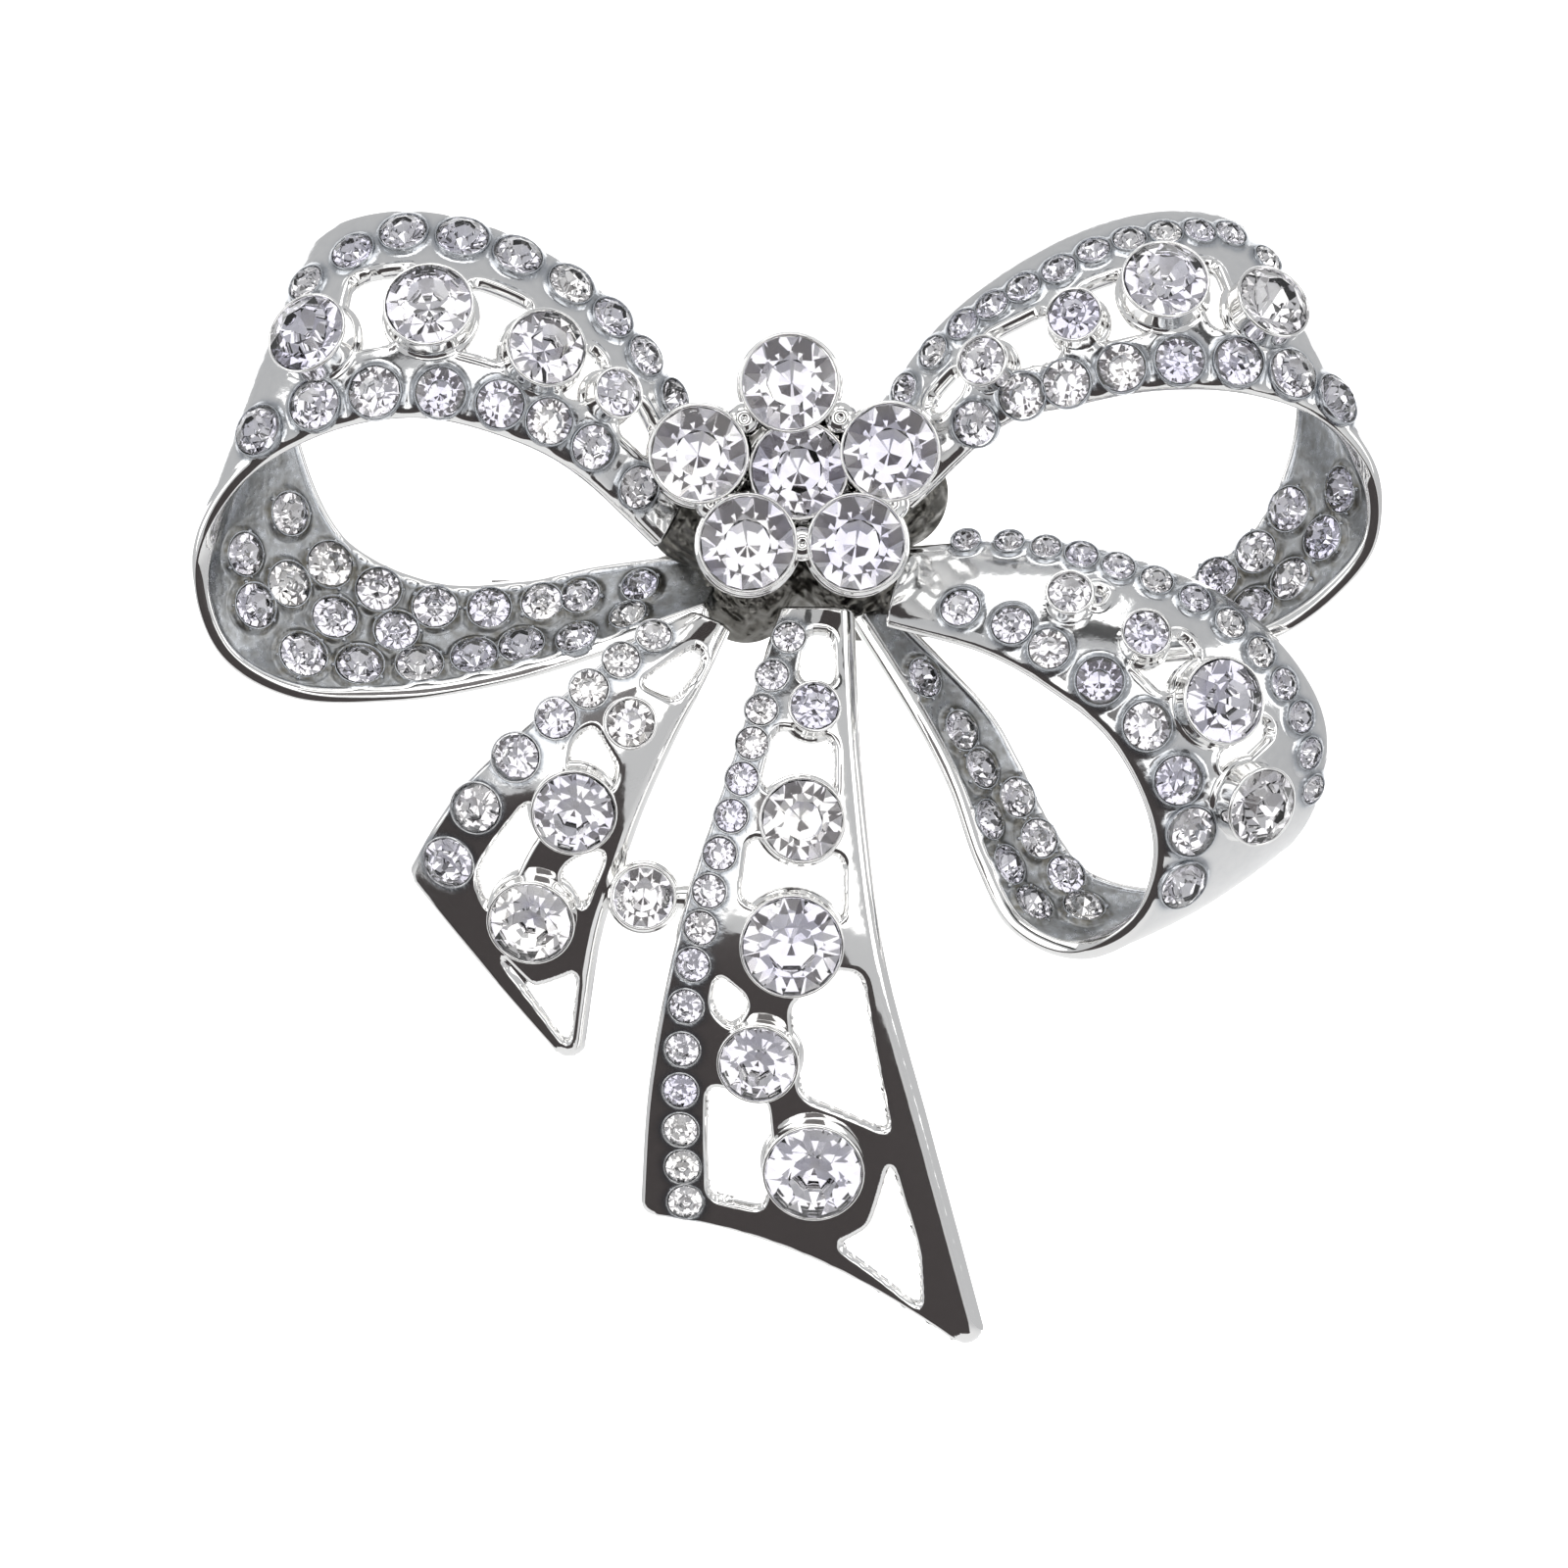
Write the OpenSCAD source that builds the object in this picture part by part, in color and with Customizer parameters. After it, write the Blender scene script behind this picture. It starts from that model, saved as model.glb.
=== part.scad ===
// Ribbon-bow brooch: three cast loops and two cast tails set with glass stones, a six-stone
// flower on the knot, and a hinged pin with a roll-over safety catch on the back.
// X runs across the bow, Z up as it is worn, and the stones face -Y. The origin is on the
// pin stem's axis, half way along it.

/* [Castings] */
// Thickness of the ribbon castings
ribbon_t = 1.1; // [0.9:0.1:1.4]
// Distance from the pin's axis forward to the rearmost edges of the ribbons
stand_off = 2.6; // [2.6:0.1:3.2]
// Extra radius of a stone cup round its stone
cup_wall = 0.32; // [0.25:0.01:0.4]
// Height of a cup's mouth above the middle of the ribbon
cup_h = 1.5; // [1.2:0.1:1.8]

/* [Stones] */
// Diameter of the knot flower's stones
flower_d = 4.2; // [3.8:0.1:4.3]
// Crown height of a stone as a share of its diameter
crown = 0.2; // [0.12:0.01:0.25]
// Pavilion depth of a stone as a share of its diameter
pavilion = 0.38; // [0.3:0.01:0.45]
// Table width of a stone as a share of its diameter
table = 0.52; // [0.4:0.01:0.65]

/* [Pin back] */
// Length of the bar plate
bar_l = 27; // [26:0.5:28]
// Height of the bar plate
bar_h = 2.6; // [2.2:0.1:3]
// Thickness of the bar plate
bar_t = 0.7; // [0.6:0.05:0.8]
// Diameter of the pin stem
pin_d = 0.8; // [0.7:0.05:0.9]
// Distance of the hinge rivet from the middle of the pin
hinge_x = 12; // [11.5:0.25:12.5]
// Diameter of the hinge rivet
rivet_d = 0.7; // [0.6:0.05:0.8]
// Outer diameter of the pin's knuckle
knuckle_d = 1.7; // [1.6:0.05:1.8]
// Width of the pin's knuckle
knuckle_w = 1.0; // [0.9:0.05:1.1]
// Outer diameter of the safety catch
catch_d = 3.2; // [3:0.1:3.4]
// Outer diameter of the roller that turns in the catch
roller_d = 2.2; // [2.1:0.05:2.3]
// Width of the slot that lets the pin in
slot_w = 1.1; // [1:0.05:1.2]

/* [Hidden] */

// A ribbon is given by its stations from the knot round and back. Each station has the front
// rim's x, z and height over the back, the rear rim's x, z and height, and the crown between.
LEFT = [
  [-6.5, 2.7, 5.5, -4.4, 7.5, 3.5, 0.3], [-10, 5.9, 7.8, -6.5, 11.2, 4.6, 0.8],
  [-13.1, 7.5, 8.6, -9.3, 14.6, 4.8, 1], [-17.1, 8.4, 9, -13.8, 17.1, 4.6, 1.2],
  [-21.3, 7.7, 8.4, -18.2, 17.9, 4, 1], [-25.1, 5.5, 7.2, -21.8, 16.7, 3, 0.5],
  [-27.2, 1.8, 5.8, -23.4, 12.9, 1.8, 0.1], [-26.2, -2.1, 4.8, -22.7, 7.6, 0.8, 0.1],
  [-22.9, -4.1, 4.2, -20.6, 3.3, 0.5, 0.4], [-18.4, -4.2, 4, -16.7, 1.3, 0.6, 0.5],
  [-14.4, -3.6, 3.8, -12.7, 1.3, 0.6, 0.5], [-10.9, -2.7, 3.8, -9.1, 2, 0.8, 0.4],
  [-4.2, -0.4, 4.5, -3.3, 2.7, 2, 0.2]
];
RIGHT = [
  [5.1, 4.4, 5.5, 2.9, 8, 3.5, 0.3], [9.1, 8, 7.8, 6, 12.4, 4.6, 0.8],
  [12.2, 8.9, 8.6, 9.1, 15, 4.8, 1], [16, 9.6, 9, 13.1, 17.1, 4.6, 1.2],
  [20, 9.5, 8.6, 17.1, 17.9, 4, 1], [23.6, 8.3, 7.4, 20.4, 17.1, 3, 0.5],
  [25.9, 5.8, 6, 22.4, 13.3, 1.8, 0.1], [26, 2.7, 5, 22.7, 8.4, 0.8, 0.1],
  [23.8, 0.1, 4.2, 21.1, 4.2, 0.5, 0.3], [20.9, -1.6, 3.4, 18.7, 2, 0.3, 0.4],
  [17.1, -2.4, 2.6, 15.8, 0.9, 0.3, 0.3], [12.7, -2.2, 2.2, 12.2, 0.9, 0.3, 0.2],
  [5.1, 0.4, 3.4, 5.1, 2.7, 2, 0.2]
];
LOWER = [
  [4, -0.9, 6, 4.9, 2.7, 4.5, 0.2], [8.2, -2.1, 7.6, 11.1, 3, 5.2, 0.5],
  [11.1, -3.7, 8.2, 15.3, 2.1, 5.4, 0.8], [13.8, -5.9, 8.4, 19.3, 0.4, 5.2, 1],
  [15.5, -8.9, 8, 22.4, -2.4, 4.4, 1], [15.9, -11.6, 7.4, 23.9, -5.8, 3.4, 0.7],
  [14.9, -14.2, 6.2, 22.9, -9.8, 2, 0.4], [12.2, -15.6, 5.2, 18.4, -12.7, 1, 0.3],
  [9.6, -14.4, 4.6, 13.8, -12.2, 0.6, 0.5], [8.1, -11.6, 4.2, 11.6, -9.8, 0.6, 0.5],
  [6.9, -8.2, 4, 10.1, -6.9, 0.8, 0.4], [5.3, -5.1, 4, 8.4, -4.2, 1.2, 0.3],
  [2.4, -0.4, 4.6, 4.2, 0, 2.8, 0.2]
];
SHORT = [
  [-5.1, -0.5, 5, -3.1, -1.1, 5, 0.2], [-7.8, -1.8, 6, -4.1, -3.3, 5.8, 0.3],
  [-10.4, -3.8, 6.5, -5.5, -6, 6, 0.4], [-12.9, -5.9, 6.3, -6.9, -9.1, 5.8, 0.5],
  [-15, -7.8, 5.8, -8, -12.2, 5.2, 0.5], [-16.4, -9.6, 5, -8.9, -15.1, 4.2, 0.5],
  [-17.7, -11.8, 3.4, -10.1, -20.6, 2.2, 0.3]
];
LONG = [
  [-0.9, -0.2, 5, 2.5, -0.2, 5, 0.2], [-2.9, -6.4, 6.8, 2.9, -7.6, 6.6, 0.4],
  [-5.3, -13.8, 6.4, 3.9, -15.6, 6.2, 0.6], [-6.8, -21.1, 4.6, 6, -23.6, 4.2, 0.6],
  [-7.3, -27.5, 2.6, 8.4, -33.7, 1.4, 0.4]
];
// How far the long tail's cut end bows up between its corners
LONG_END_BOW = 1.7;

// Rows of stones along a ribbon: first and last station, count, place across the ribbon at
// each end (0 front rim, 1 rear rim), and the stone's diameter at each end
LEFT_ROWS = [
  [0.67, 3.2, 6, 0.86, 0.85, 1.7, 2.3], [3.75, 4.65, 3, 0.84, 0.7, 2.1, 1.7],
  [0.5, 2.85, 5, 0.2, 0.11, 1.9, 2.2], [3.5, 4.75, 3, 0.11, 0.13, 2.3, 2.3]
];
RIGHT_ROWS = [
  [0.57, 2.55, 6, 0.74, 0.74, 1.45, 1.55], [2.92, 4.42, 5, 0.77, 0.82, 1.45, 1.4],
  [4.8, 4.8, 1, 0.74, 0.74, 1.35, 1.35], [0.87, 5.2, 8, 0.12, 0.13, 2, 2.3]
];
LOWER_ROWS = [
  [0.44, 1.1, 3, 0.94, 0.86, 1.2, 1.25], [1.47, 4.9, 9, 0.85, 0.83, 1.4, 1.4],
  [5.35, 5.35, 1, 0.86, 0.86, 1.3, 1.3], [0.65, 1.77, 3, 0.27, 0.19, 1.75, 1.8],
  [2.5, 5.5, 5, 0.18, 0.16, 2.1, 2.3]
];
SHORT_ROWS = [[0.73, 2.44, 4, 0.16, 0.12, 1.5, 1.8], [3.22, 5.3, 3, 0.12, 0.16, 2.1, 2.3]];
LONG_ROWS = [
  [0.22, 0.5, 2, 0.24, 0.16, 1.4, 1.4], [0.74, 2.27, 8, 0.14, 0.11, 1.4, 1.5],
  [2.52, 3.85, 6, 0.11, 0.14, 1.5, 1.55]
];
// Rows set on the inner face, where the ribbon comes back to the knot
LEFT_PAVE = [
  [6.75, 7.18, 2, 0.36, 0.28, 1.9, 2], [7.95, 10.4, 5, 0.24, 0.32, 2.15, 2],
  [11.1, 11.45, 2, 0.21, 0.31, 1.8, 1.6], [7.17, 7.9, 2, 0.73, 0.78, 1.9, 2.1],
  [8.5, 9.75, 3, 0.81, 0.76, 2, 1.9], [10.45, 11.45, 3, 0.73, 0.66, 1.8, 1.6],
  [7.5, 8.8, 3, 0.51, 0.56, 2.05, 1.95]
];
RIGHT_PAVE = [
  [6.85, 8.8, 4, 0.37, 0.36, 2, 1.9], [9.5, 10.9, 3, 0.34, 0.34, 1.7, 1.5],
  [7.65, 9, 3, 0.77, 0.82, 2, 1.8], [9.8, 10.6, 2, 0.78, 0.78, 1.5, 1.4]
];
LOWER_PAVE = [
  [7.7, 7.7, 1, 0.57, 0.57, 1.8, 1.8], [8.13, 9.45, 3, 0.31, 0.28, 1.8, 1.75],
  [8.27, 9.55, 3, 0.78, 0.74, 1.75, 1.75], [10.1, 11.35, 3, 0.46, 0.42, 1.8, 1.75]
];
// Large stones: station, place across the ribbon, diameter
LEFT_LARGE = [[1.27, 0.46, 2.1], [2.13, 0.43, 3.4], [3.19, 0.44, 3.8], [4.25, 0.38, 3.6]];
RIGHT_LARGE = [[1.35, 0.37, 2.1], [2.5, 0.4, 2.3], [3.4, 0.46, 3.7], [4.4, 0.39, 3.4]];
LOWER_LARGE = [[1.66, 0.5, 1.9], [2.6, 0.48, 2], [3.6, 0.49, 3.7], [4.85, 0.46, 3.4]];
SHORT_LARGE = [[2.06, 0.56, 2.1], [3.43, 0.58, 3.6], [5.13, 0.63, 3.7]];
LONG_LARGE = [[0.7, 0.56, 2.1], [1.34, 0.55, 3.6], [2.03, 0.54, 4.4], [2.75, 0.4, 3.4],
  [3.36, 0.56, 4.3]];
// Middles of the flower's stones in x and z, and the height of each girdle over the back
FLOWER = [[-0.4, 10, 8.6], [-4.5, 6.8, 8.9], [0, 6.1, 8], [4.1, 6.9, 8.9], [-2.3, 2.8, 9.2],
  [2.6, 2.8, 9.2]];
FLOWER_FOOT = 5.2;
// The stone that ties the two tails together
LINK = [-7, -13.1, 6.6];
LINK_D = 2.7;
// How far the lug on its right reaches past the stone
LINK_LUG = 1.4;

// The knot's lobes behind the flower: middle in x and z, radius, and depth of the back face
KNOT = [[0, 4.4, 4.4, 1.6], [-4.4, 4.4, 2.6, 1.6], [4.2, 5.2, 2.6, 1.6], [-2.4, 0.7, 2.3, 0],
  [2.8, 0.8, 2.3, 0]];
KNOT_FRONT = 5.6;

// Places across the ribbon where its grid has lines
ACROSS = [0, 0.15, 0.31, 0.5, 0.69, 0.85, 1];
// Grid steps between two stations
STEPS = 3;

bar_y = -stand_off;
hinge_pos = [-hinge_x, 0, 0];
rivet_play = 0.05;
stem_tip_x = 13.6;
catch_x = 11.4;
catch_l = 1.5;
flange_t = 0.6;
flange_gap = 0.08;
roller_play = 0.06;
roller_bore = 1.15;
tab_r = 2.3;

// Catmull-Rom blend of four values, and a column of a station list read along the ribbon
function blend4(a, b, c, d, f) =
  0.5 * (2 * b + (c - a) * f + (2 * a - 5 * b + 4 * c - d) * f * f
    + (3 * b - a - 3 * c + d) * f * f * f);
function at(s, k, c) =
  k < 0 ? 2 * s[0][c] - s[1][c]
  : k >= len(s) ? 2 * s[len(s) - 1][c] - s[len(s) - 2][c]
  : s[k][c];
function column(s, t, c) =
  let (i = min(floor(t), len(s) - 2))
  blend4(at(s, i - 1, c), at(s, i, c), at(s, i + 1, c), at(s, i + 2, c), t - i);
function front(s, t) = [column(s, t, 0), -column(s, t, 2) - stand_off, column(s, t, 1)];
function rear(s, t) = [column(s, t, 3), -column(s, t, 5) - stand_off, column(s, t, 4)];
function unit(a) = a / norm(a);
function inside(s, t) = min(max(t, 0.02), len(s) - 1.02);

// A point of the ribbon's middle surface, and the outward normal there. side is -1 where the
// stations run towards -X, so that the normal faces out of the loop.
function flat_normal(s, t, side) =
  let (u = inside(s, t), e = 0.01, m0 = front(s, u - e) + rear(s, u - e))
  let (m1 = front(s, u + e) + rear(s, u + e))
  unit(side * cross(m1 - m0, rear(s, u) - front(s, u)));
function ribbon(s, t, v, side, bow = 0) =
  (1 - v) * front(s, t) + v * rear(s, t)
  + 4 * v * (1 - v) * column(s, t, 6) * flat_normal(s, t, side)
  + 4 * v * (1 - v) * bow * pow(t / (len(s) - 1), 6) * [0, 0, 1];
function along(s, t, v, side, bow = 0) =
  let (u = inside(s, t), e = 0.01)
  unit(ribbon(s, u + e, v, side, bow) - ribbon(s, u - e, v, side, bow));
function outward(s, t, v, side, bow = 0) =
  let (w = min(max(v, 0.01), 0.99), e = 0.01)
  unit(side * cross(along(s, t, w, side, bow),
    ribbon(s, t, w + e, side, bow) - ribbon(s, t, w - e, side, bow)));

// Is the cell between stations i and across-lines j part of the metal?
function solid(i, j, cells, open) =
  i >= 0 && i < cells && j >= 0 && j < len(ACROSS) - 1
  && !(i >= open[0] && i < open[1] && j >= open[2] && j < open[3]);

// The ribbon as one closed skin, with a window between its rails. open is the window's first
// and last step along the ribbon, then its first and last line across.
module ribbon_casting(s, side, open, bow = 0) {
  cells = (len(s) - 1) * STEPS;
  row = len(ACROSS);
  half = (cells + 1) * row;
  pts = [for (h = [1, -1]) for (i = [0:cells]) for (v = ACROSS)
    let (t = i / STEPS)
    ribbon(s, t, v, side, bow) + h * ribbon_t / 2 * outward(s, t, v, side, bow)];
  faces = [for (i = [0:cells - 1]) for (j = [0:row - 2]) if (solid(i, j, cells, open))
    let (a = i * row + j, b = a + row, c = b + 1, d = a + 1)
    each [
      [a, b, c], [a, c, d], [a + half, c + half, b + half], [a + half, d + half, c + half],
      if (!solid(i, j - 1, cells, open)) each [[a, a + half, b + half], [a, b + half, b]],
      if (!solid(i, j + 1, cells, open)) each [[c, c + half, d + half], [c, d + half, d]],
      if (!solid(i - 1, j, cells, open)) each [[d, d + half, a + half], [d, a + half, a]],
      if (!solid(i + 1, j, cells, open)) each [[b, b + half, c + half], [b, c + half, c]]
    ]];
  polyhedron(pts, side < 0 ? faces : [for (f = faces) [f[2], f[1], f[0]]]);
}

// Puts its child on a ribbon, with +Z along the outward normal (face 1) or inward (face -1)
module on_ribbon(s, t, v, side, lift, face = 1, bow = 0) {
  z = face * outward(s, t, v, side, bow);
  x = along(s, t, v, side, bow);
  y = cross(z, x);
  p = ribbon(s, t, v, side, bow) + lift * z;
  multmatrix([[x[0], y[0], z[0], p[0]], [x[1], y[1], z[1], p[1]], [x[2], y[2], z[2], p[2]],
    [0, 0, 0, 1]])
  children();
}

// A pointed-back glass stone, its girdle at z = 0
module stone(d) {
  color("white")
  rotate_extrude($fn = 32)
  polygon([[0, -pavilion * d], [d / 2, -0.03 * d], [d / 2, 0.03 * d], [table * d / 2, crown * d],
    [0, crown * d]]);
}

// A cup that holds one stone: a ring with a narrower seat, from z = -depth to the girdle
module cup(d, depth) {
  seat_d = 0.82 * d;
  color("silver")
  difference() {
    translate([0, 0, -depth]) cylinder(h = depth + 0.1, d = d + 2 * cup_wall, $fn = 48);
    translate([0, 0, -depth - 1]) cylinder(h = depth + 2, d = seat_d, $fn = 48);
    translate([0, 0, -0.12]) cylinder(h = 1, d = d - 0.02, $fn = 48);
  }
}

module row_stones(s, rows, side, face = 1, bow = 0) {
  for (r = rows)
    for (i = [0:r[2] - 1])
      let (f = r[2] > 1 ? i / (r[2] - 1) : 0)
      on_ribbon(s, r[0] + f * (r[1] - r[0]), r[3] + f * (r[4] - r[3]), side, ribbon_t / 2, face,
        bow)
      stone(r[5] + f * (r[6] - r[5]));
}
module large_stones(s, list, side, bow = 0) {
  for (q = list) on_ribbon(s, q[0], q[1], side, cup_h, 1, bow) stone(q[2]);
}
module cups(s, list, side, bow = 0) {
  for (q = list) on_ribbon(s, q[0], q[1], side, cup_h, 1, bow) cup(q[2], cup_h + ribbon_t / 2);
}

module left_loop() { color("silver") ribbon_casting(LEFT, -1, [3, 16, 2, 4]); }
module left_loop_cups() { cups(LEFT, LEFT_LARGE, -1); }
module left_loop_stones() { row_stones(LEFT, LEFT_ROWS, -1); }
module left_loop_large_stones() { large_stones(LEFT, LEFT_LARGE, -1); }
module left_loop_pave_stones() { row_stones(LEFT, LEFT_PAVE, -1, -1); }

module right_loop() { color("silver") ribbon_casting(RIGHT, 1, [3, 16, 2, 4]); }
module right_loop_cups() { cups(RIGHT, RIGHT_LARGE, 1); }
module right_loop_stones() { row_stones(RIGHT, RIGHT_ROWS, 1); }
module right_loop_large_stones() { large_stones(RIGHT, RIGHT_LARGE, 1); }
module right_loop_pave_stones() { row_stones(RIGHT, RIGHT_PAVE, 1, -1); }

module lower_loop() { color("silver") ribbon_casting(LOWER, 1, [4, 17, 2, 4]); }
module lower_loop_cups() { cups(LOWER, LOWER_LARGE, 1); }
module lower_loop_stones() { row_stones(LOWER, LOWER_ROWS, 1); }
module lower_loop_large_stones() { large_stones(LOWER, LOWER_LARGE, 1); }
module lower_loop_pave_stones() { row_stones(LOWER, LOWER_PAVE, 1, -1); }

module short_tail() { color("silver") ribbon_casting(SHORT, 1, [2, 16, 2, 5]); }
module short_tail_cups() { cups(SHORT, SHORT_LARGE, 1); }
module short_tail_stones() { row_stones(SHORT, SHORT_ROWS, 1); }
module short_tail_large_stones() { large_stones(SHORT, SHORT_LARGE, 1); }

module long_tail() { color("silver") ribbon_casting(LONG, 1, [1, 11, 2, 5], LONG_END_BOW); }
module long_tail_cups() { cups(LONG, LONG_LARGE, 1, LONG_END_BOW); }
module long_tail_stones() { row_stones(LONG, LONG_ROWS, 1, 1, LONG_END_BOW); }
module long_tail_large_stones() { large_stones(LONG, LONG_LARGE, 1, LONG_END_BOW); }

// Turns a shape drawn upright so that its top faces the wearer's front, -Y
module facing(x, z, height) {
  translate([x, -stand_off - height, z]) rotate([90, 0, 0]) children();
}

module tail_link() {
  facing(LINK[0], LINK[1], LINK[2]) {
    cup(LINK_D, 1.6);
    color("silver")
    translate([LINK_D / 2, 0, -1])
    rotate([0, 90, 0])
    cylinder(h = LINK_LUG, r = 0.42, $fn = 24);
  }
}
module tail_link_stone() { facing(LINK[0], LINK[1], LINK[2]) stone(LINK_D); }

// The lump behind the flower that the ribbons run into
module knot_base() {
  color("silver")
  for (k = KNOT)
    facing(k[0], k[1], k[3])
    cylinder(h = KNOT_FRONT - k[3], r = k[2], $fn = 64);
}
module flower_cups() {
  for (p = FLOWER) facing(p[0], p[1], p[2]) cup(flower_d, p[2] - FLOWER_FOOT);
}
module flower_stones() { for (p = FLOWER) facing(p[0], p[1], p[2]) stone(flower_d); }

module bar_plate() {
  color("silver")
  translate([-bar_l / 2 - 0.5, bar_y, -bar_h / 2])
  cube([bar_l, bar_t, bar_h]);
}

// Two ears that stand up from the bar on either side of the knuckle
module hinge_bracket() {
  ear_t = 0.5;
  ear_r = 0.9;
  foot = bar_y + bar_t;
  color("silver")
  for (side = [-1, 1])
    translate([-hinge_x, 0, side * (knuckle_w / 2 + 0.06 + ear_t / 2)])
    difference() {
      union() {
        cylinder(h = ear_t, r = ear_r, center = true, $fn = 48);
        translate([-ear_r, foot, -ear_t / 2]) cube([2 * ear_r, -foot, ear_t]);
      }
      cylinder(h = 2 * ear_t, d = rivet_d, center = true, $fn = 48);
    }
}

module hinge_rivet() {
  head_t = 0.25;
  body_l = knuckle_w + 1.12;
  color("gainsboro")
  translate(hinge_pos) {
    cylinder(h = body_l, d = rivet_d, center = true, $fn = 48);
    for (side = [-1, 1])
      translate([0, 0, side * (body_l + head_t) / 2])
      cylinder(h = head_t, d = 1.2, center = true, $fn = 48);
  }
}

module pin_stem() {
  point_l = 2.6;
  stem_end = stem_tip_x - point_l;
  color("gainsboro")
  difference() {
    union() {
      translate(hinge_pos) cylinder(h = knuckle_w, d = knuckle_d, center = true, $fn = 48);
      translate(hinge_pos) rotate([0, 90, 0])
      cylinder(h = stem_end + hinge_x, d = pin_d, $fn = 32);
      translate([stem_end, 0, 0]) rotate([0, 90, 0])
      cylinder(h = point_l, d1 = pin_d, d2 = 0.12, $fn = 32);
    }
    translate(hinge_pos)
    cylinder(h = 2 * knuckle_w, d = rivet_d + 2 * rivet_play, center = true, $fn = 48);
  }
}

// Cuts a slot from the axis out to +Y
module slot_cut(x0, l) {
  translate([x0 - 0.5, 0, -slot_w / 2]) cube([l + 1, catch_d, slot_w]);
}

module catch_housing() {
  foot = bar_y + bar_t;
  color("silver")
  difference() {
    union() {
      translate([catch_x, 0, 0]) rotate([0, 90, 0]) cylinder(h = catch_l, d = catch_d, $fn = 64);
      translate([catch_x, foot, -0.9]) cube([catch_l, -foot, 1.8]);
    }
    translate([catch_x - 1, 0, 0]) rotate([0, 90, 0])
    cylinder(h = catch_l + 2, d = roller_d + 2 * roller_play, $fn = 64);
    slot_cut(catch_x, catch_l);
  }
}

// The turning sleeve, with a flange at each end of the housing and a thumb tab on the outer one
module catch_roller() {
  x0 = catch_x - flange_gap - flange_t / 2;
  x1 = catch_x + catch_l + flange_gap;
  flange_d = 2.9;
  color("gainsboro")
  difference() {
    union() {
      translate([x0, 0, 0]) rotate([0, 90, 0])
      cylinder(h = x1 - x0 + flange_t, d = roller_d, $fn = 64);
      translate([x0, 0, 0]) rotate([0, 90, 0]) cylinder(h = flange_t / 2, d = flange_d, $fn = 64);
      translate([x1, 0, 0]) rotate([0, 90, 0]) cylinder(h = flange_t, d = flange_d, $fn = 64);
      translate([x1, -0.35, -tab_r]) cube([flange_t, 0.7, 1.6]);
    }
    translate([x0 - 1, 0, 0]) rotate([0, 90, 0])
    cylinder(h = 5, d = roller_bore, $fn = 48);
    slot_cut(x0, 4);
  }
}

left_loop();
left_loop_cups();
left_loop_stones();
left_loop_large_stones();
left_loop_pave_stones();
right_loop();
right_loop_cups();
right_loop_stones();
right_loop_large_stones();
right_loop_pave_stones();
lower_loop();
lower_loop_cups();
lower_loop_stones();
lower_loop_large_stones();
lower_loop_pave_stones();
short_tail();
short_tail_cups();
short_tail_stones();
short_tail_large_stones();
long_tail();
long_tail_cups();
long_tail_stones();
long_tail_large_stones();
tail_link();
tail_link_stone();
knot_base();
flower_cups();
flower_stones();
bar_plate();
hinge_bracket();
hinge_rivet();
pin_stem();
catch_housing();
catch_roller();
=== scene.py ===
import math

import bmesh
import bpy
import numpy as np
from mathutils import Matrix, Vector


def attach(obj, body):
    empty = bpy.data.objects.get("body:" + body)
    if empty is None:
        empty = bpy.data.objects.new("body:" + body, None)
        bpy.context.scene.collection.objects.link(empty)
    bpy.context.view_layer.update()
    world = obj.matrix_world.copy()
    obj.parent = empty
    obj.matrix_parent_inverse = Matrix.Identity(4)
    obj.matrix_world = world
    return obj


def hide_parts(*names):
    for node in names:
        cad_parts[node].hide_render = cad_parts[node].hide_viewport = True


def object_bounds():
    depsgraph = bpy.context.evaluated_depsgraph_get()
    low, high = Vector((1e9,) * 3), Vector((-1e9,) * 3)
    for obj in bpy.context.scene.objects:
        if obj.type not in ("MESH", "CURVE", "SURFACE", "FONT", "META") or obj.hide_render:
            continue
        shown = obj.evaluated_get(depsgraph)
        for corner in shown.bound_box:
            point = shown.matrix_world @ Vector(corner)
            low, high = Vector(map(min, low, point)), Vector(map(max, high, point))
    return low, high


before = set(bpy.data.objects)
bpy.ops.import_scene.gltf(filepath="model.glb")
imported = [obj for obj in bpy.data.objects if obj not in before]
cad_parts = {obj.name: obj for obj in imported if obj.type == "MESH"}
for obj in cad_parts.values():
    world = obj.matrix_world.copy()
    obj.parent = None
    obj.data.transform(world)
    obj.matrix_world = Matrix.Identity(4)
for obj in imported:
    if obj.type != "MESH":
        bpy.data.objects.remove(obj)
cad_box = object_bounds()

# ---------------------------------------------------------------------------
# Left loop casting
# The real piece is a ribbon of zinc alloy, cast in one, filed, polished and plated with
# rhodium. It starts at the knot as two rails with windows between them, turns over at the
# far end, and comes back behind as a closed band whose inner face is set with stones.
# ---------------------------------------------------------------------------
MM = 0.001
STAND_OFF = 2.6
THICK = 1.1
CHAMFER = 0.34
LOOP_NOSES = (0.62, 0.62, 0.62)
TAIL_NOSES = (0.34, 0.7, 0.22)

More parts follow.
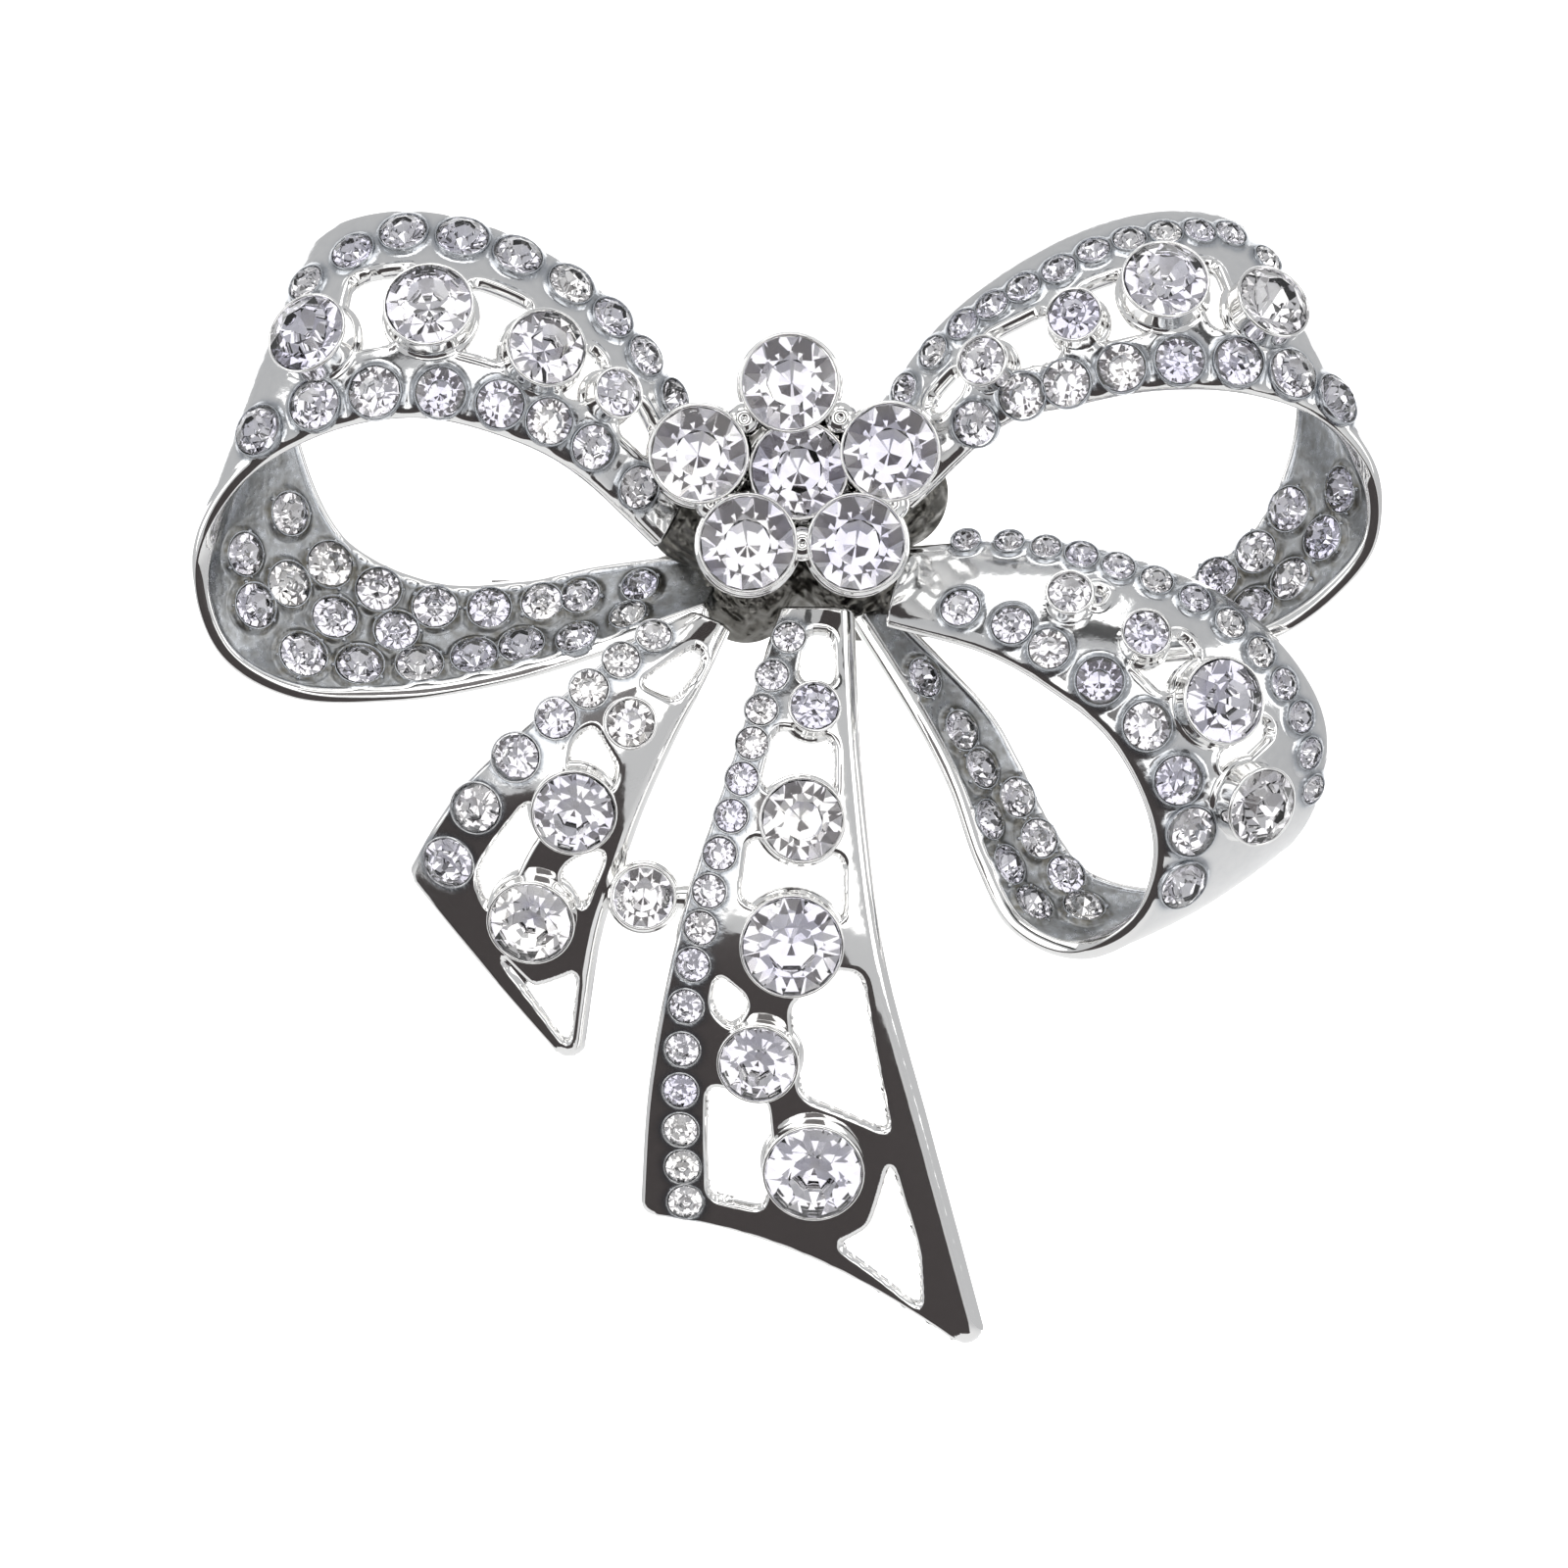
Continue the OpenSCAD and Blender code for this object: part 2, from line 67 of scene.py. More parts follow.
# Each station has the front rim's x, z and height over the back, the rear rim's, and the
# crown between the two, in millimetres.
LEFT = [
    (-6.5, 2.7, 5.5, -4.4, 7.5, 3.5, 0.3), (-10, 5.9, 7.8, -6.5, 11.2, 4.6, 0.8),
    (-13.1, 7.5, 8.6, -9.3, 14.6, 4.8, 1), (-17.1, 8.4, 9, -13.8, 17.1, 4.6, 1.2),
    (-21.3, 7.7, 8.4, -18.2, 17.9, 4, 1), (-25.1, 5.5, 7.2, -21.8, 16.7, 3, 0.5),
    (-27.2, 1.8, 5.8, -23.4, 12.9, 1.8, 0.1), (-26.2, -2.1, 4.8, -22.7, 7.6, 0.8, 0.1),
    (-22.9, -4.1, 4.2, -20.6, 3.3, 0.5, 0.4), (-18.4, -4.2, 4, -16.7, 1.3, 0.6, 0.5),
    (-14.4, -3.6, 3.8, -12.7, 1.3, 0.6, 0.5), (-10.9, -2.7, 3.8, -9.1, 2, 0.8, 0.4),
    (-4.2, -0.4, 4.5, -3.3, 2.7, 2, 0.2),
]
# Windows between the rails: the corners of each as (station, place across from 0 at the
# front rim to 1 at the rear rim).
LEFT_WINDOWS = [
    [(0.55, 0.4), (1, 0.36), (1, 0.62), (0.55, 0.56)],
    [(1.45, 0.34), (1.75, 0.31), (1.75, 0.63), (1.45, 0.6)],
    [(2.4, 0.32), (2.95, 0.31), (2.95, 0.64), (2.4, 0.64)],
    [(3.45, 0.31), (4.0, 0.3), (4.1, 0.64), (3.45, 0.66)],
]


def spline(rows, t):
    """Catmull-Rom curve through the rows at station t: a cubic in the fraction past a station."""
    rows = np.asarray(rows, float)
    rows = np.vstack([2 * rows[0] - rows[1], rows, 2 * rows[-1] - rows[-2]])
    i = np.clip(np.floor(t).astype(int), 0, len(rows) - 4)
    f = (t - i)[..., None]
    a, b, c, d = (rows[i + k] for k in range(4))
    return 0.5 * (2 * b + (c - a) * f + (2 * a - 5 * b + 4 * c - d) * f**2
                  + (3 * b - a - 3 * c + d) * f**3)


def unit(a):
    return a / np.linalg.norm(a, axis=-1, keepdims=True)


def rims(stations, t):
    """The front and rear rim at station t, as points, and the crown between them."""
    row = spline(stations, t)
    front = np.stack([row[..., 0], -row[..., 2] - STAND_OFF, row[..., 1]], -1)
    rear = np.stack([row[..., 3], -row[..., 5] - STAND_OFF, row[..., 4]], -1)
    return front, rear, row[..., 6:7]


def ribbon_point(ribbon, t, v):
    """Straight line from front rim to rear rim, arched outward by 4v(1-v) times the crown."""
    stations, side, bow = ribbon
    t, v = np.broadcast_arrays(np.asarray(t, float), np.asarray(v, float))
    last = len(stations) - 1
    front, rear, crown = rims(stations, t)
    u = np.clip(t, 0.02, last - 0.02)
    before, after = (sum(rims(stations, u + e)[:2]) for e in (-0.01, 0.01))
    across = np.subtract(*rims(stations, u)[1::-1])
    flat_normal = unit(side * np.cross(after - before, across))
    arch = (4 * v * (1 - v))[..., None]
    lift = arch * bow * ((t / last) ** 6)[..., None] * np.array([0, 0, 1.0])
    return (1 - v)[..., None] * front + v[..., None] * rear + arch * crown * flat_normal + lift


def ribbon_slopes(ribbon, t, v):
    """Change of the ribbon's point per station and per place across, from small steps."""
    u = np.clip(t, 0.02, len(ribbon[0]) - 1.02)
    w = np.clip(v, 0.01, 0.99)
    per_t = (ribbon_point(ribbon, u + 0.01, w) - ribbon_point(ribbon, u - 0.01, w)) / 0.02
    per_v = (ribbon_point(ribbon, u, w + 0.01) - ribbon_point(ribbon, u, w - 0.01)) / 0.02
    return per_t, per_v


def find_on(ribbon, points):
    """Station and place across nearest each point: the nearest on a coarse grid, then four
    Newton steps along both slopes."""
    last = len(ribbon[0]) - 1
    t, v = np.meshgrid(np.linspace(0.1, last - 0.1, 12 * last), np.linspace(0.05, 0.95, 10))
    t, v = t.ravel(), v.ravel()
    near = np.linalg.norm(points[:, None] - ribbon_point(ribbon, t, v), axis=-1).argmin(1)
    t, v = t[near], v[near]
    for _ in range(4):
        slopes = np.stack(ribbon_slopes(ribbon, t, v), -1)
        step = np.linalg.pinv(slopes) @ (points - ribbon_point(ribbon, t, v))[..., None]
        t, v = t + step[:, 0, 0], v + step[:, 1, 0]
    return t, v


def loose_parts(node):
    """The points of each loose part of a CAD node, in millimetres. Points at one place count as
    one, and the lowest label spreads along the edges until nothing changes."""
    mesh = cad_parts[node].data
    points = np.zeros(3 * len(mesh.vertices), np.float32)
    mesh.vertices.foreach_get("co", points)
    points = points.reshape(-1, 3).astype(float) / MM
    _, place = np.unique(np.round(points, 3), axis=0, return_inverse=True)
    ends = np.zeros(2 * len(mesh.edges), np.int32)
    mesh.edges.foreach_get("vertices", ends)
    ends = place.ravel()[ends.reshape(-1, 2)]
    label = np.arange(place.max() + 1)
    settled = False
    while not settled:
        spread = label.copy()
        low = label[ends].min(1)
        np.minimum.at(spread, ends[:, 0], low)
        np.minimum.at(spread, ends[:, 1], low)
        settled = (spread == label).all()
        label = spread
    return [points[label[place.ravel()] == k] for k in np.unique(label)]


def stone_seats(node):
    """Where the stones of a CAD node sit: centres of their girdles, three axes with the third
    out through the table, and radii. A turned body's axis is the odd one of its three spreads,
    and its back is the side that reaches farther from the girdle."""
    seats = []
    for part in loose_parts(node):
        part = np.unique(np.round(part, 4), axis=0)
        middle = part.mean(0)
        spread, axes = np.linalg.eigh(np.cov((part - middle).T))
        z = axes[:, 0 if spread[1] - spread[0] > spread[2] - spread[1] else 2]
        height = (part - middle) @ z
        radial = np.linalg.norm(part - middle - height[:, None] * z, axis=1)
        rim = radial > 0.97 * radial.max()
        reach = height - height[rim].mean()
        z = z * -np.sign(reach[np.abs(reach).argmax()])
        girdle = part[rim]
        x = unit(np.cross((0, 0, 1.0), z))
        seats.append((girdle.mean(0), x, np.cross(z, x), z, radial.max()))
    return [np.array(values) for values in zip(*seats)]


def smooth(low, high, x):
    """0 below low, 1 above high, and the cubic 3s^2 - 2s^3 between."""
    s = np.clip((x - low) / (high - low), 0, 1)
    return s * s * (3 - 2 * s)


def in_polygon(corners, t, v):
    """True where a level line from (t, v) crosses the polygon's sides an odd number of times."""
    inside = np.zeros(t.shape, bool)
    for (t0, v0), (t1, v1) in zip(corners, np.roll(corners, -1, 0)):
        crosses = (v0 > v) != (v1 > v)
        with np.errstate(divide="ignore", invalid="ignore"):
            inside ^= crosses & (t < t0 + (v - v0) * (t1 - t0) / (v1 - v0))
    return inside


def window_outline(ribbon, corners, feet, rounding=0.55):
    """A window's rounded polygon and its outline in (t, v). A parabola replaces each corner, and
    where a cup's foot stands in the opening the outline runs round the foot instead."""
    corners = np.array(corners, float)
    slopes = ribbon_slopes(ribbon, *corners.mean(0))
    scale = np.array([np.linalg.norm(s) for s in slopes])
    q = corners * scale
    before, after = np.roll(q, 1, 0) - q, np.roll(q, -1, 0) - q
    cut = [q + d * np.minimum(0.48, rounding / np.linalg.norm(d, axis=1))[:, None]
           for d in (before, after)]
    s = np.linspace(0, 1, 8)[None, :, None]
    arc = (1 - s) ** 2 * cut[0][:, None] + 2 * s * (1 - s) * q[:, None] + s**2 * cut[1][:, None]
    loop = np.vstack([arc.reshape(-1, 2), arc[0, :1]])
    run = np.r_[0, np.cumsum(np.linalg.norm(np.diff(loop, axis=0), axis=1))]
    at = np.linspace(0, run[-1], int(run[-1] / 0.05))[:-1]
    polygon = np.stack([np.interp(at, run, loop[:, k]) for k in (0, 1)], -1) / scale
    outline = [polygon]
    angle = np.linspace(0, 2 * np.pi, 160, endpoint=False)
    for t, v, centre, reach in zip(*feet):
        places = ribbon_point(ribbon, outline[0][:, 0], outline[0][:, 1])
        outline[0] = outline[0][np.linalg.norm(places - centre, axis=1) > reach]
        per_t, per_v = ribbon_slopes(ribbon, t, v)
        along = unit(per_t)
        across = unit(per_v - (per_v @ along) * along)
        ring = reach * (np.cos(angle)[:, None] * along + np.sin(angle)[:, None] * across)
        ring = ring @ np.linalg.pinv(np.stack([per_t, per_v], -1)).T + (t, v)
        outline.append(ring[in_polygon(polygon, ring[:, 0], ring[:, 1])])
    return polygon, np.vstack(outline)


def new_piece(name, points, faces, material, smooth_faces=True):
    """A mesh object from points in millimetres, placed at the origin."""
    mesh = bpy.data.meshes.new(name)
    mesh.from_pydata((np.asarray(points) * MM).tolist(), [], faces)
    mesh.materials.append(material)
    mesh.polygons.foreach_set("use_smooth", np.full(len(mesh.polygons), smooth_faces))
    piece = bpy.data.objects.new(name, mesh)
    bpy.context.collection.objects.link(piece)
    return piece


def turn_outward(piece, weld=0.0):
    """Welds points closer than weld, and turns every closed shell's faces outward."""
    shell = bmesh.new()
    shell.from_mesh(piece.data)
    if weld:
        bmesh.ops.remove_doubles(shell, verts=shell.verts, dist=weld)
    bmesh.ops.recalc_face_normals(shell, faces=shell.faces)
    shell.to_mesh(piece.data)
    shell.free()


def casting_grid(ribbon, noses, step, open_end):
    """Stations, places across and distances to the rims on a grid of about step millimetres,
    with lines crowded inside each rim and inside a cut end."""
    last = len(ribbon[0]) - 1
    crowd, rear_crowd, end_crowd = (n * (1 - np.cos(np.linspace(0, np.pi / 2, 6)))
                                    for n in noses)
    fine = np.linspace(0, last, 700)
    middle = ribbon_point(ribbon, fine, 0.5)
    run = np.r_[0, np.cumsum(np.linalg.norm(np.diff(middle, axis=0), axis=1))]
    ends = run[-1] - end_crowd[::-1] if open_end else run[-1:]
    t = np.interp(np.r_[np.arange(0, ends[0] - 0.5 * step, step), ends], run, fine)
    front, rear, _ = rims(ribbon[0], t)
    width = np.linalg.norm(rear - front, axis=1)[:, None]
    inner = np.linspace(0, 1, int(width.max() / step))[None, 1:-1]
    flat = 1 - (crowd[-1] + rear_crowd[-1]) / width
    v = np.concatenate([crowd / width, crowd[-1] / width + inner * flat,
                        1 - rear_crowd[::-1] / width], 1)
    t = np.repeat(t[:, None], v.shape[1], 1)
    along = [unit(np.gradient(edge, axis=0)) for edge in (front, rear)]
    lean = [np.linalg.norm(np.cross(unit(rear - front), a), axis=1)[:, None] for a in along]
    to_front, to_rear = v * width * lean[0], (1 - v) * width * lean[1]
    to_end = np.full(v.shape, 99.0)
    if open_end:
        edge = ribbon_point(ribbon, float(last), np.linspace(0, 1, 160))
        skin = ribbon_point(ribbon, t, v)
        to_end = np.linalg.norm(skin[:, :, None] - edge[None, None], axis=-1).min(-1)
        to_end = np.where(t >= last, 0, to_end)
    return t, v, to_front, to_rear, to_end


def corner_gap(ribbon, v, points, step, radius=0.8):
    """Distance inside the round corner at a cut end: the corner's radius less the distance from
    its centre, or 99 outside its wedge. Points just past the arc are drawn back onto it."""
    last = len(ribbon[0]) - 1.0
    tip, back, side = ribbon_point(ribbon, [last, last - 0.04, last],
                                   [v, v, v + 0.05 * (1 - 2 * v)])
    along, across = unit(back - tip), unit(side - tip)
    cosine = along @ across
    sine = math.sqrt(1 - cosine**2)
    centre = tip + (along + across) * radius / sine
    away = points - centre
    p = -away @ unit(across - cosine * along)
    q = -away @ unit(along - cosine * across)
    distance = np.linalg.norm(away, axis=-1)
    wedge = (p + q * cosine > 0) & (q + p * cosine > 0)
    past = np.where(wedge, np.maximum(distance - radius, 0), 0)
    past = np.where(past < 0.8 * step, past, 0)[..., None]
    gap = np.where(wedge, radius - distance, 99)
    return gap, points - past * away / np.maximum(distance, 1e-6)[..., None]


WINDOW_MARGIN = (0.25, 0.12)
FAR = 9.0


def cup_feet(ribbon, outer):
    """Station, place across, point on the ribbon and reach of each cup's foot."""
    cups = [seat for seat in outer if seat[1] > 0]
    t, v = find_on(ribbon, np.array([seat[0] for seat in cups]))
    return t, v, ribbon_point(ribbon, t, v), np.array([seat[1] for seat in cups])


def open_windows(ribbon, windows, feet, t, v, step):
    """Moves grid points near a window's outline onto it. Gives the grid, which of its points lie in
    an opening, and how far each is from the nearest outline."""
    t, v = t.copy(), v.copy()
    opened = np.zeros(t.shape, bool)
    to_window = np.full(t.shape, FAR)
    for corners in windows:
        polygon, outline = window_outline(ribbon, corners, feet)
        low, high = outline.min(0), outline.max(0)
        box = ((t > low[0] - WINDOW_MARGIN[0]) & (t < high[0] + WINDOW_MARGIN[0])
               & (v > low[1] - WINDOW_MARGIN[1]) & (v < high[1] + WINDOW_MARGIN[1]))
        here = ribbon_point(ribbon, t[box], v[box])
        edge = ribbon_point(ribbon, outline[:, 0], outline[:, 1])
        gap = np.linalg.norm(here[:, None] - edge, axis=-1)
        nearest, gap = gap.argmin(1), gap.min(1)
        hole = in_polygon(polygon, t[box], v[box])
        for place, radius in zip(feet[2], feet[3]):
            hole &= np.linalg.norm(here - place, axis=1) > radius
        snap = gap < 0.55 * step
        tb, vb = t[box], v[box]
        tb[snap], vb[snap] = outline[nearest[snap]].T
        t[box], v[box] = tb, vb
        gap[snap] = 0
        opened[box] |= hole & ~snap
        to_window[box] = np.minimum(to_window[box], gap)
    return t, v, opened, to_window


def half_thickness(share, to_window):
    """Half the thickness: it falls to nothing over the nose of a rim as a superellipse of power
    1.5, and by a quarter circle at a window. share is the way in from the rim over the nose."""
    nose = 1 - np.clip(share, 0, 1)
    half = THICK / 2 * (1 - nose**1.5) ** (1 / 1.5)
    bite = CHAMFER - np.minimum(to_window, CHAMFER)
    half = np.minimum(half, THICK / 2 - CHAMFER + np.sqrt(CHAMFER**2 - bite**2))
    return np.maximum(half, 0.03)


def drilling(skin, seats):
    """Distance from the nearest stone's edge, and the depth drilled under each stone: down to a
    cone that clears its point."""
    near = np.full(skin.shape[:-1], FAR)
    drill = np.zeros(skin.shape[:-1])
    for place, _, radius, axis in seats:
        height = (skin - place) @ axis
        radial = np.linalg.norm(skin - place - height[..., None] * axis, axis=-1)
        cone = -0.06 - 0.9 * (radius - radial)
        under = (radial < radius + 0.02) & (np.abs(height) < 1.1 * radius)
        drill = np.maximum(drill, np.where(under, height - cone, 0))
        near = np.minimum(near, np.hypot(radial - radius, height) * np.sign(radial - radius))
    return near, drill


def skin_faces(opened):
    """Faces over two grids, one behind the other: whole cells, three-sided ones where a corner is
    in an opening, and a wall between the skins along every side that has no neighbour. Gives the
    faces in terms of the points they use, and which points those are."""
    rows, cols = opened.shape
    size = rows * cols
    index = np.arange(size).reshape(rows, cols)
    cells = np.stack([index[:-1, :-1], index[1:, :-1], index[1:, 1:], index[:-1, 1:]], -1)
    cells = cells.reshape(-1, 4)
    shut = opened.ravel()[cells]
    whole = cells[shut.sum(1) == 0]
    part = cells[shut.sum(1) == 1]
    first = shut[shut.sum(1) == 1].argmax(1)
    three = np.stack([part[np.arange(len(part)), (first + k) % 4] for k in (1, 2, 3)], -1)
    sides = np.concatenate([np.stack([f, np.roll(f, -1, 1)], -1).reshape(-1, 2)
                            for f in (whole, three)])
    key, back = sides @ (size, 1), sides @ (1, size)
    rim_sides = sides[~np.isin(key, back)]
    walls = np.stack([rim_sides[:, 1], rim_sides[:, 0], rim_sides[:, 0] + size,
                      rim_sides[:, 1] + size], -1)
    faces = (whole.tolist() + (whole[:, ::-1] + size).tolist() + three.tolist()
             + (three[:, ::-1] + size).tolist() + walls.tolist())
    used = np.zeros(2 * size, bool)
    used[np.concatenate([np.ravel(f) for f in (whole, whole + size, three, three + size)])] = True
    fresh = np.cumsum(used) - 1
    return [[int(fresh[n]) for n in f] for f in faces], used


def cast_ribbon(name, ribbon, windows, outer, inner, material, noses, sink_and_shade, open_end, step):
    """A closed skin on two grids, one on each face of the ribbon. Each face is sunk a little except
    by its rims and stones, and drilled under its stones."""
    t, v, to_front, to_rear, to_end = casting_grid(ribbon, noses, step, open_end)
    t, v, opened, to_window = open_windows(ribbon, windows, cup_feet(ribbon, outer), t, v, step)
    middle = ribbon_point(ribbon, t, v)
    gaps = [to_front, to_rear, to_end]
    share = [gap / nose for gap, nose in zip(gaps, noses)]
    if open_end:
        for place, nose in zip((0.0, 1.0), noses):
            gap, middle = corner_gap(ribbon, place, middle, step)
            gaps.append(gap)
            share.append(gap / nose)
        opened |= np.min(gaps, 0) < -0.8 * step
    half = half_thickness(np.min(share, 0), to_window)
    depth = np.minimum(np.clip(np.min(gaps, 0), 0, None), to_window)
    per_t, per_v = ribbon_slopes(ribbon, t, v)
    out = unit(ribbon[1] * np.cross(per_t, per_v))
    points, soil_and_shade = [], []
    turn = (len(ribbon[0]) - 1) / 2
    for face, seats, (sink, lip, shade_tone, ring) in zip((1, -1), (outer, inner), sink_and_shade):
        skin = middle + face * half[..., None] * out
        near, drill = drilling(skin, seats)
        set_part = smooth(-0.3, 0.3, face * (turn + 0.2 - t)) if not open_end else 1.0
        sunk = smooth(lip, lip + 0.3, depth) * set_part
        drop = np.maximum(sink * sunk * smooth(0.05, 0.35, near), drill)
        points.append((skin - face * drop[..., None] * out).reshape(-1, 3))
        # Painted shade, partly real dirt: the sunk parts are darkened, and more so in a ring round each
        # stone where shade falls.
        close = np.exp(-((np.maximum(near, 0) / 0.3) ** 2))
        soil_and_shade.append((sunk * (shade_tone + (ring - shade_tone) * close)).ravel())
    faces, used = skin_faces(opened)
    piece = new_piece(name, np.concatenate(points)[used], faces, material)
    tone = piece.data.attributes.new("soil_and_shade", "FLOAT", "POINT")
    tone.data.foreach_set("value", np.concatenate(soil_and_shade)[used].astype(np.float32))
    turn_outward(piece, 2e-7)
    return piece


def node_maker(name):
    """A material with an empty tree, and a function that adds a node and sets its inputs."""
    material = bpy.data.materials.new(name)
    material.use_nodes = True
    tree = material.node_tree
    tree.nodes.clear()

    def add(kind, **inputs):
        node = tree.nodes.new(kind)
        for key, value in inputs.items():
            socket = node.inputs[key.replace("_", " ")]
            if isinstance(value, bpy.types.NodeSocket):
                tree.links.new(value, socket)
            else:
                socket.default_value = value
        return node

    return material, tree, add


def plating(name, colour, shade_tone, dirt_and_shade_colour, polish, waviness):
    """Plated metal: mirror-like, with faint waves from hand polishing, fine wipe marks in its
    roughness. As the attribute soil_and_shade rises it takes on a blue-grey tone, then dark brown:
    painted shade in recesses and round stones, partly real dirt."""
    material, tree, add = node_maker(name)
    place = add("ShaderNodeTexCoord").outputs["Object"]
    waves = add("ShaderNodeTexNoise", Vector=place, Scale=650.0, Detail=2.0)
    fine = add("ShaderNodeTexNoise", Vector=place, Scale=5200.0, Detail=4.0)
    blotch = add("ShaderNodeTexNoise", Vector=place, Scale=2300.0, Detail=3.0)
    tone = add("ShaderNodeAttribute")
    tone.attribute_name = "soil_and_shade"
    patchy = add("ShaderNodeMapRange", Value=blotch.outputs["Fac"])
    patchy.inputs["From Min"].default_value = 0.3
    patchy.inputs["From Max"].default_value = 0.7
    patchy.inputs["To Min"].default_value = 0.75
    patchy.inputs["To Max"].default_value = 1.15
    share = add("ShaderNodeMath")
    share.operation = "MULTIPLY"
    share.use_clamp = True
    tree.links.new(tone.outputs["Fac"], share.inputs[0])
    tree.links.new(patchy.outputs["Result"], share.inputs[1])
    ramp = add("ShaderNodeValToRGB", Fac=share.outputs[0])
    ramp.color_ramp.elements[0].color = (*colour, 1)
    ramp.color_ramp.elements[1].color = (*dirt_and_shade_colour, 1)
    ramp.color_ramp.elements.new(0.5).color = (*shade_tone, 1)
    rough = add("ShaderNodeMapRange", Value=fine.outputs["Fac"])
    rough.inputs["To Min"].default_value = polish
    rough.inputs["To Max"].default_value = polish + 0.06
    dull = add("ShaderNodeMath")
    dull.operation = "MULTIPLY_ADD"
    tree.links.new(share.outputs[0], dull.inputs[0])
    dull.inputs[1].default_value = 0.34
    tree.links.new(rough.outputs["Result"], dull.inputs[2])
    bump = add("ShaderNodeBump", Height=waves.outputs["Fac"], Strength=waviness, Distance=0.0002)
    grain = add("ShaderNodeBump", Height=blotch.outputs["Fac"], Distance=0.00005)
    tree.links.new(bump.outputs["Normal"], grain.inputs["Normal"])
    tree.links.new(share.outputs[0], grain.inputs["Strength"])
    shader = add("ShaderNodeBsdfPrincipled", Metallic=1.0, Roughness=dull.outputs[0],
                 Normal=grain.outputs["Normal"])
    tree.links.new(ramp.outputs["Color"], shader.inputs["Base Color"])
    end = add("ShaderNodeOutputMaterial")
    tree.links.new(shader.outputs[0], end.inputs["Surface"])
    return material


# Clean rhodium, then a blue-grey and a dark brown that paint shade into the recesses and round the
# stones, with some real dirt.
rhodium = plating("rhodium plating", (0.88, 0.875, 0.865), (0.43, 0.45, 0.48),
                  (0.17, 0.162, 0.14), 0.03, 0.1)
left = (LEFT, -1, 0)


def seat_spots(node, foot=0.0):
    """For each stone of a node: its centre, the reach of a cup's foot on the ribbon, or 0, its
    radius and its axis."""
    centre, _, _, axis, radius = stone_seats(node)
    return [(c, r + foot if foot else 0, r, z) for c, r, z in zip(centre, radius, axis)]


# For the outer and the inner face: how far it is sunk, from how far inside a rim, and its painted
# shade, partly dirt, away from the stones and round them.
LOOP_SINK_AND_SHADE = ((0.14, 0.2, 0.12, 0.85), (0.26, 0.36, 0.72, 1))
TAIL_SINK_AND_SHADE = ((0, 0.05, 0, 0.75), (0, 0.05, 0, 0))
FOOT_REACH = 0.12


def casting(node, ribbon, windows, pave=True, step=0.15):
    """One ribbon's casting, drilled and opened for the stones and cups of its CAD nodes."""
    outer = seat_spots(node + "_stones") + seat_spots(node + "_large_stones", FOOT_REACH)
    inner = seat_spots(node + "_pave_stones") if pave else []
    noses, sink_and_shade = (LOOP_NOSES, LOOP_SINK_AND_SHADE) if pave else (TAIL_NOSES, TAIL_SINK_AND_SHADE)
    piece = cast_ribbon(node + "_casting", ribbon, windows, outer, inner, rhodium, noses, sink_and_shade,
                        not pave, step)
    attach(piece, "brooch")
    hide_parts(node)


casting("left_loop", left, LEFT_WINDOWS)

# ---------------------------------------------------------------------------
# Left loop cups and bezels
# A large stone sits in a cup, a short tube with a rolled lip that stands between the rails.
# A small stone sits in a seat whose edge is raised into a thin bezel, and grains of metal
# are pushed over it from the corners between stones.
# ---------------------------------------------------------------------------
TURNS = 40


def turned(profile, seats):
    """Closed rings: each of the profile's points (distance past the stone's radius, height over
    its girdle) goes once round each seat's Z axis."""
    profile = np.asarray(profile, float)
    angle = np.linspace(0, 2 * np.pi, TURNS, endpoint=False)
    centre, x, y, z, radius = (np.asarray(s)[:, None, None] for s in seats)
    r = (radius + profile[:, 0][None, :, None])[..., None]
    points = (r * (np.cos(angle)[:, None] * x + np.sin(angle)[:, None] * y)
              + profile[:, 1][None, :, None, None] * z + centre)
    count = len(profile)
    i, j = np.meshgrid(np.arange(count), np.arange(TURNS), indexing="ij")
    i2, j2 = (i + 1) % count, (j + 1) % TURNS
    quad = np.stack([i * TURNS + j, i * TURNS + j2, i2 * TURNS + j2, i2 * TURNS + j], -1)
    base = np.arange(len(radius))[:, None, None] * count * TURNS
    return points.reshape(-1, 3), (quad.reshape(1, -1, 4) + base).reshape(-1, 4)


def grains(seats, count, size, reach, height):
    """Small domes round each seat: four rings of eight points, closed by a point at each end."""
    turn = np.linspace(0, 2 * np.pi, 8, endpoint=False)
    rise = np.array([-0.6, 0.0, 0.45, 0.8])[:, None, None]
    wide = np.array([0.9, 1.0, 0.86, 0.5])[:, None, None]
    i, j = np.meshgrid(np.arange(3), np.arange(8), indexing="ij")
    quads = np.stack([i * 8 + j, i * 8 + (j + 1) % 8, (i + 1) * 8 + (j + 1) % 8,
                      (i + 1) * 8 + j], -1).reshape(-1, 4).tolist()
    caps = [[24 + m, 24 + (m + 1) % 8, 32] for m in range(8)]
    caps += [[(m + 1) % 8, m, 33] for m in range(8)]
    points, faces = [], []
    for number, (centre, x, y, z, r) in enumerate(zip(*seats)):
        for k in range(count):
            a = 2 * np.pi * (k + 0.5 * (number % 3)) / count
            grow = size * (0.7 + 0.3 * math.sin(5.1 * number + 2.3 * k))
            foot = centre + (r + reach) * (math.cos(a) * x + math.sin(a) * y) + height * z
            ring = np.cos(turn)[:, None] * x + np.sin(turn)[:, None] * y
            dome = grow * (wide * ring + rise * z) + foot
            base = 34 * (count * number + k)
            points += [dome.reshape(-1, 3), (foot + 0.95 * grow * z)[None],
                       (foot - 0.7 * grow * z)[None]]
            faces += [[n + base for n in f] for f in quads + caps]
    return np.concatenate(points), faces


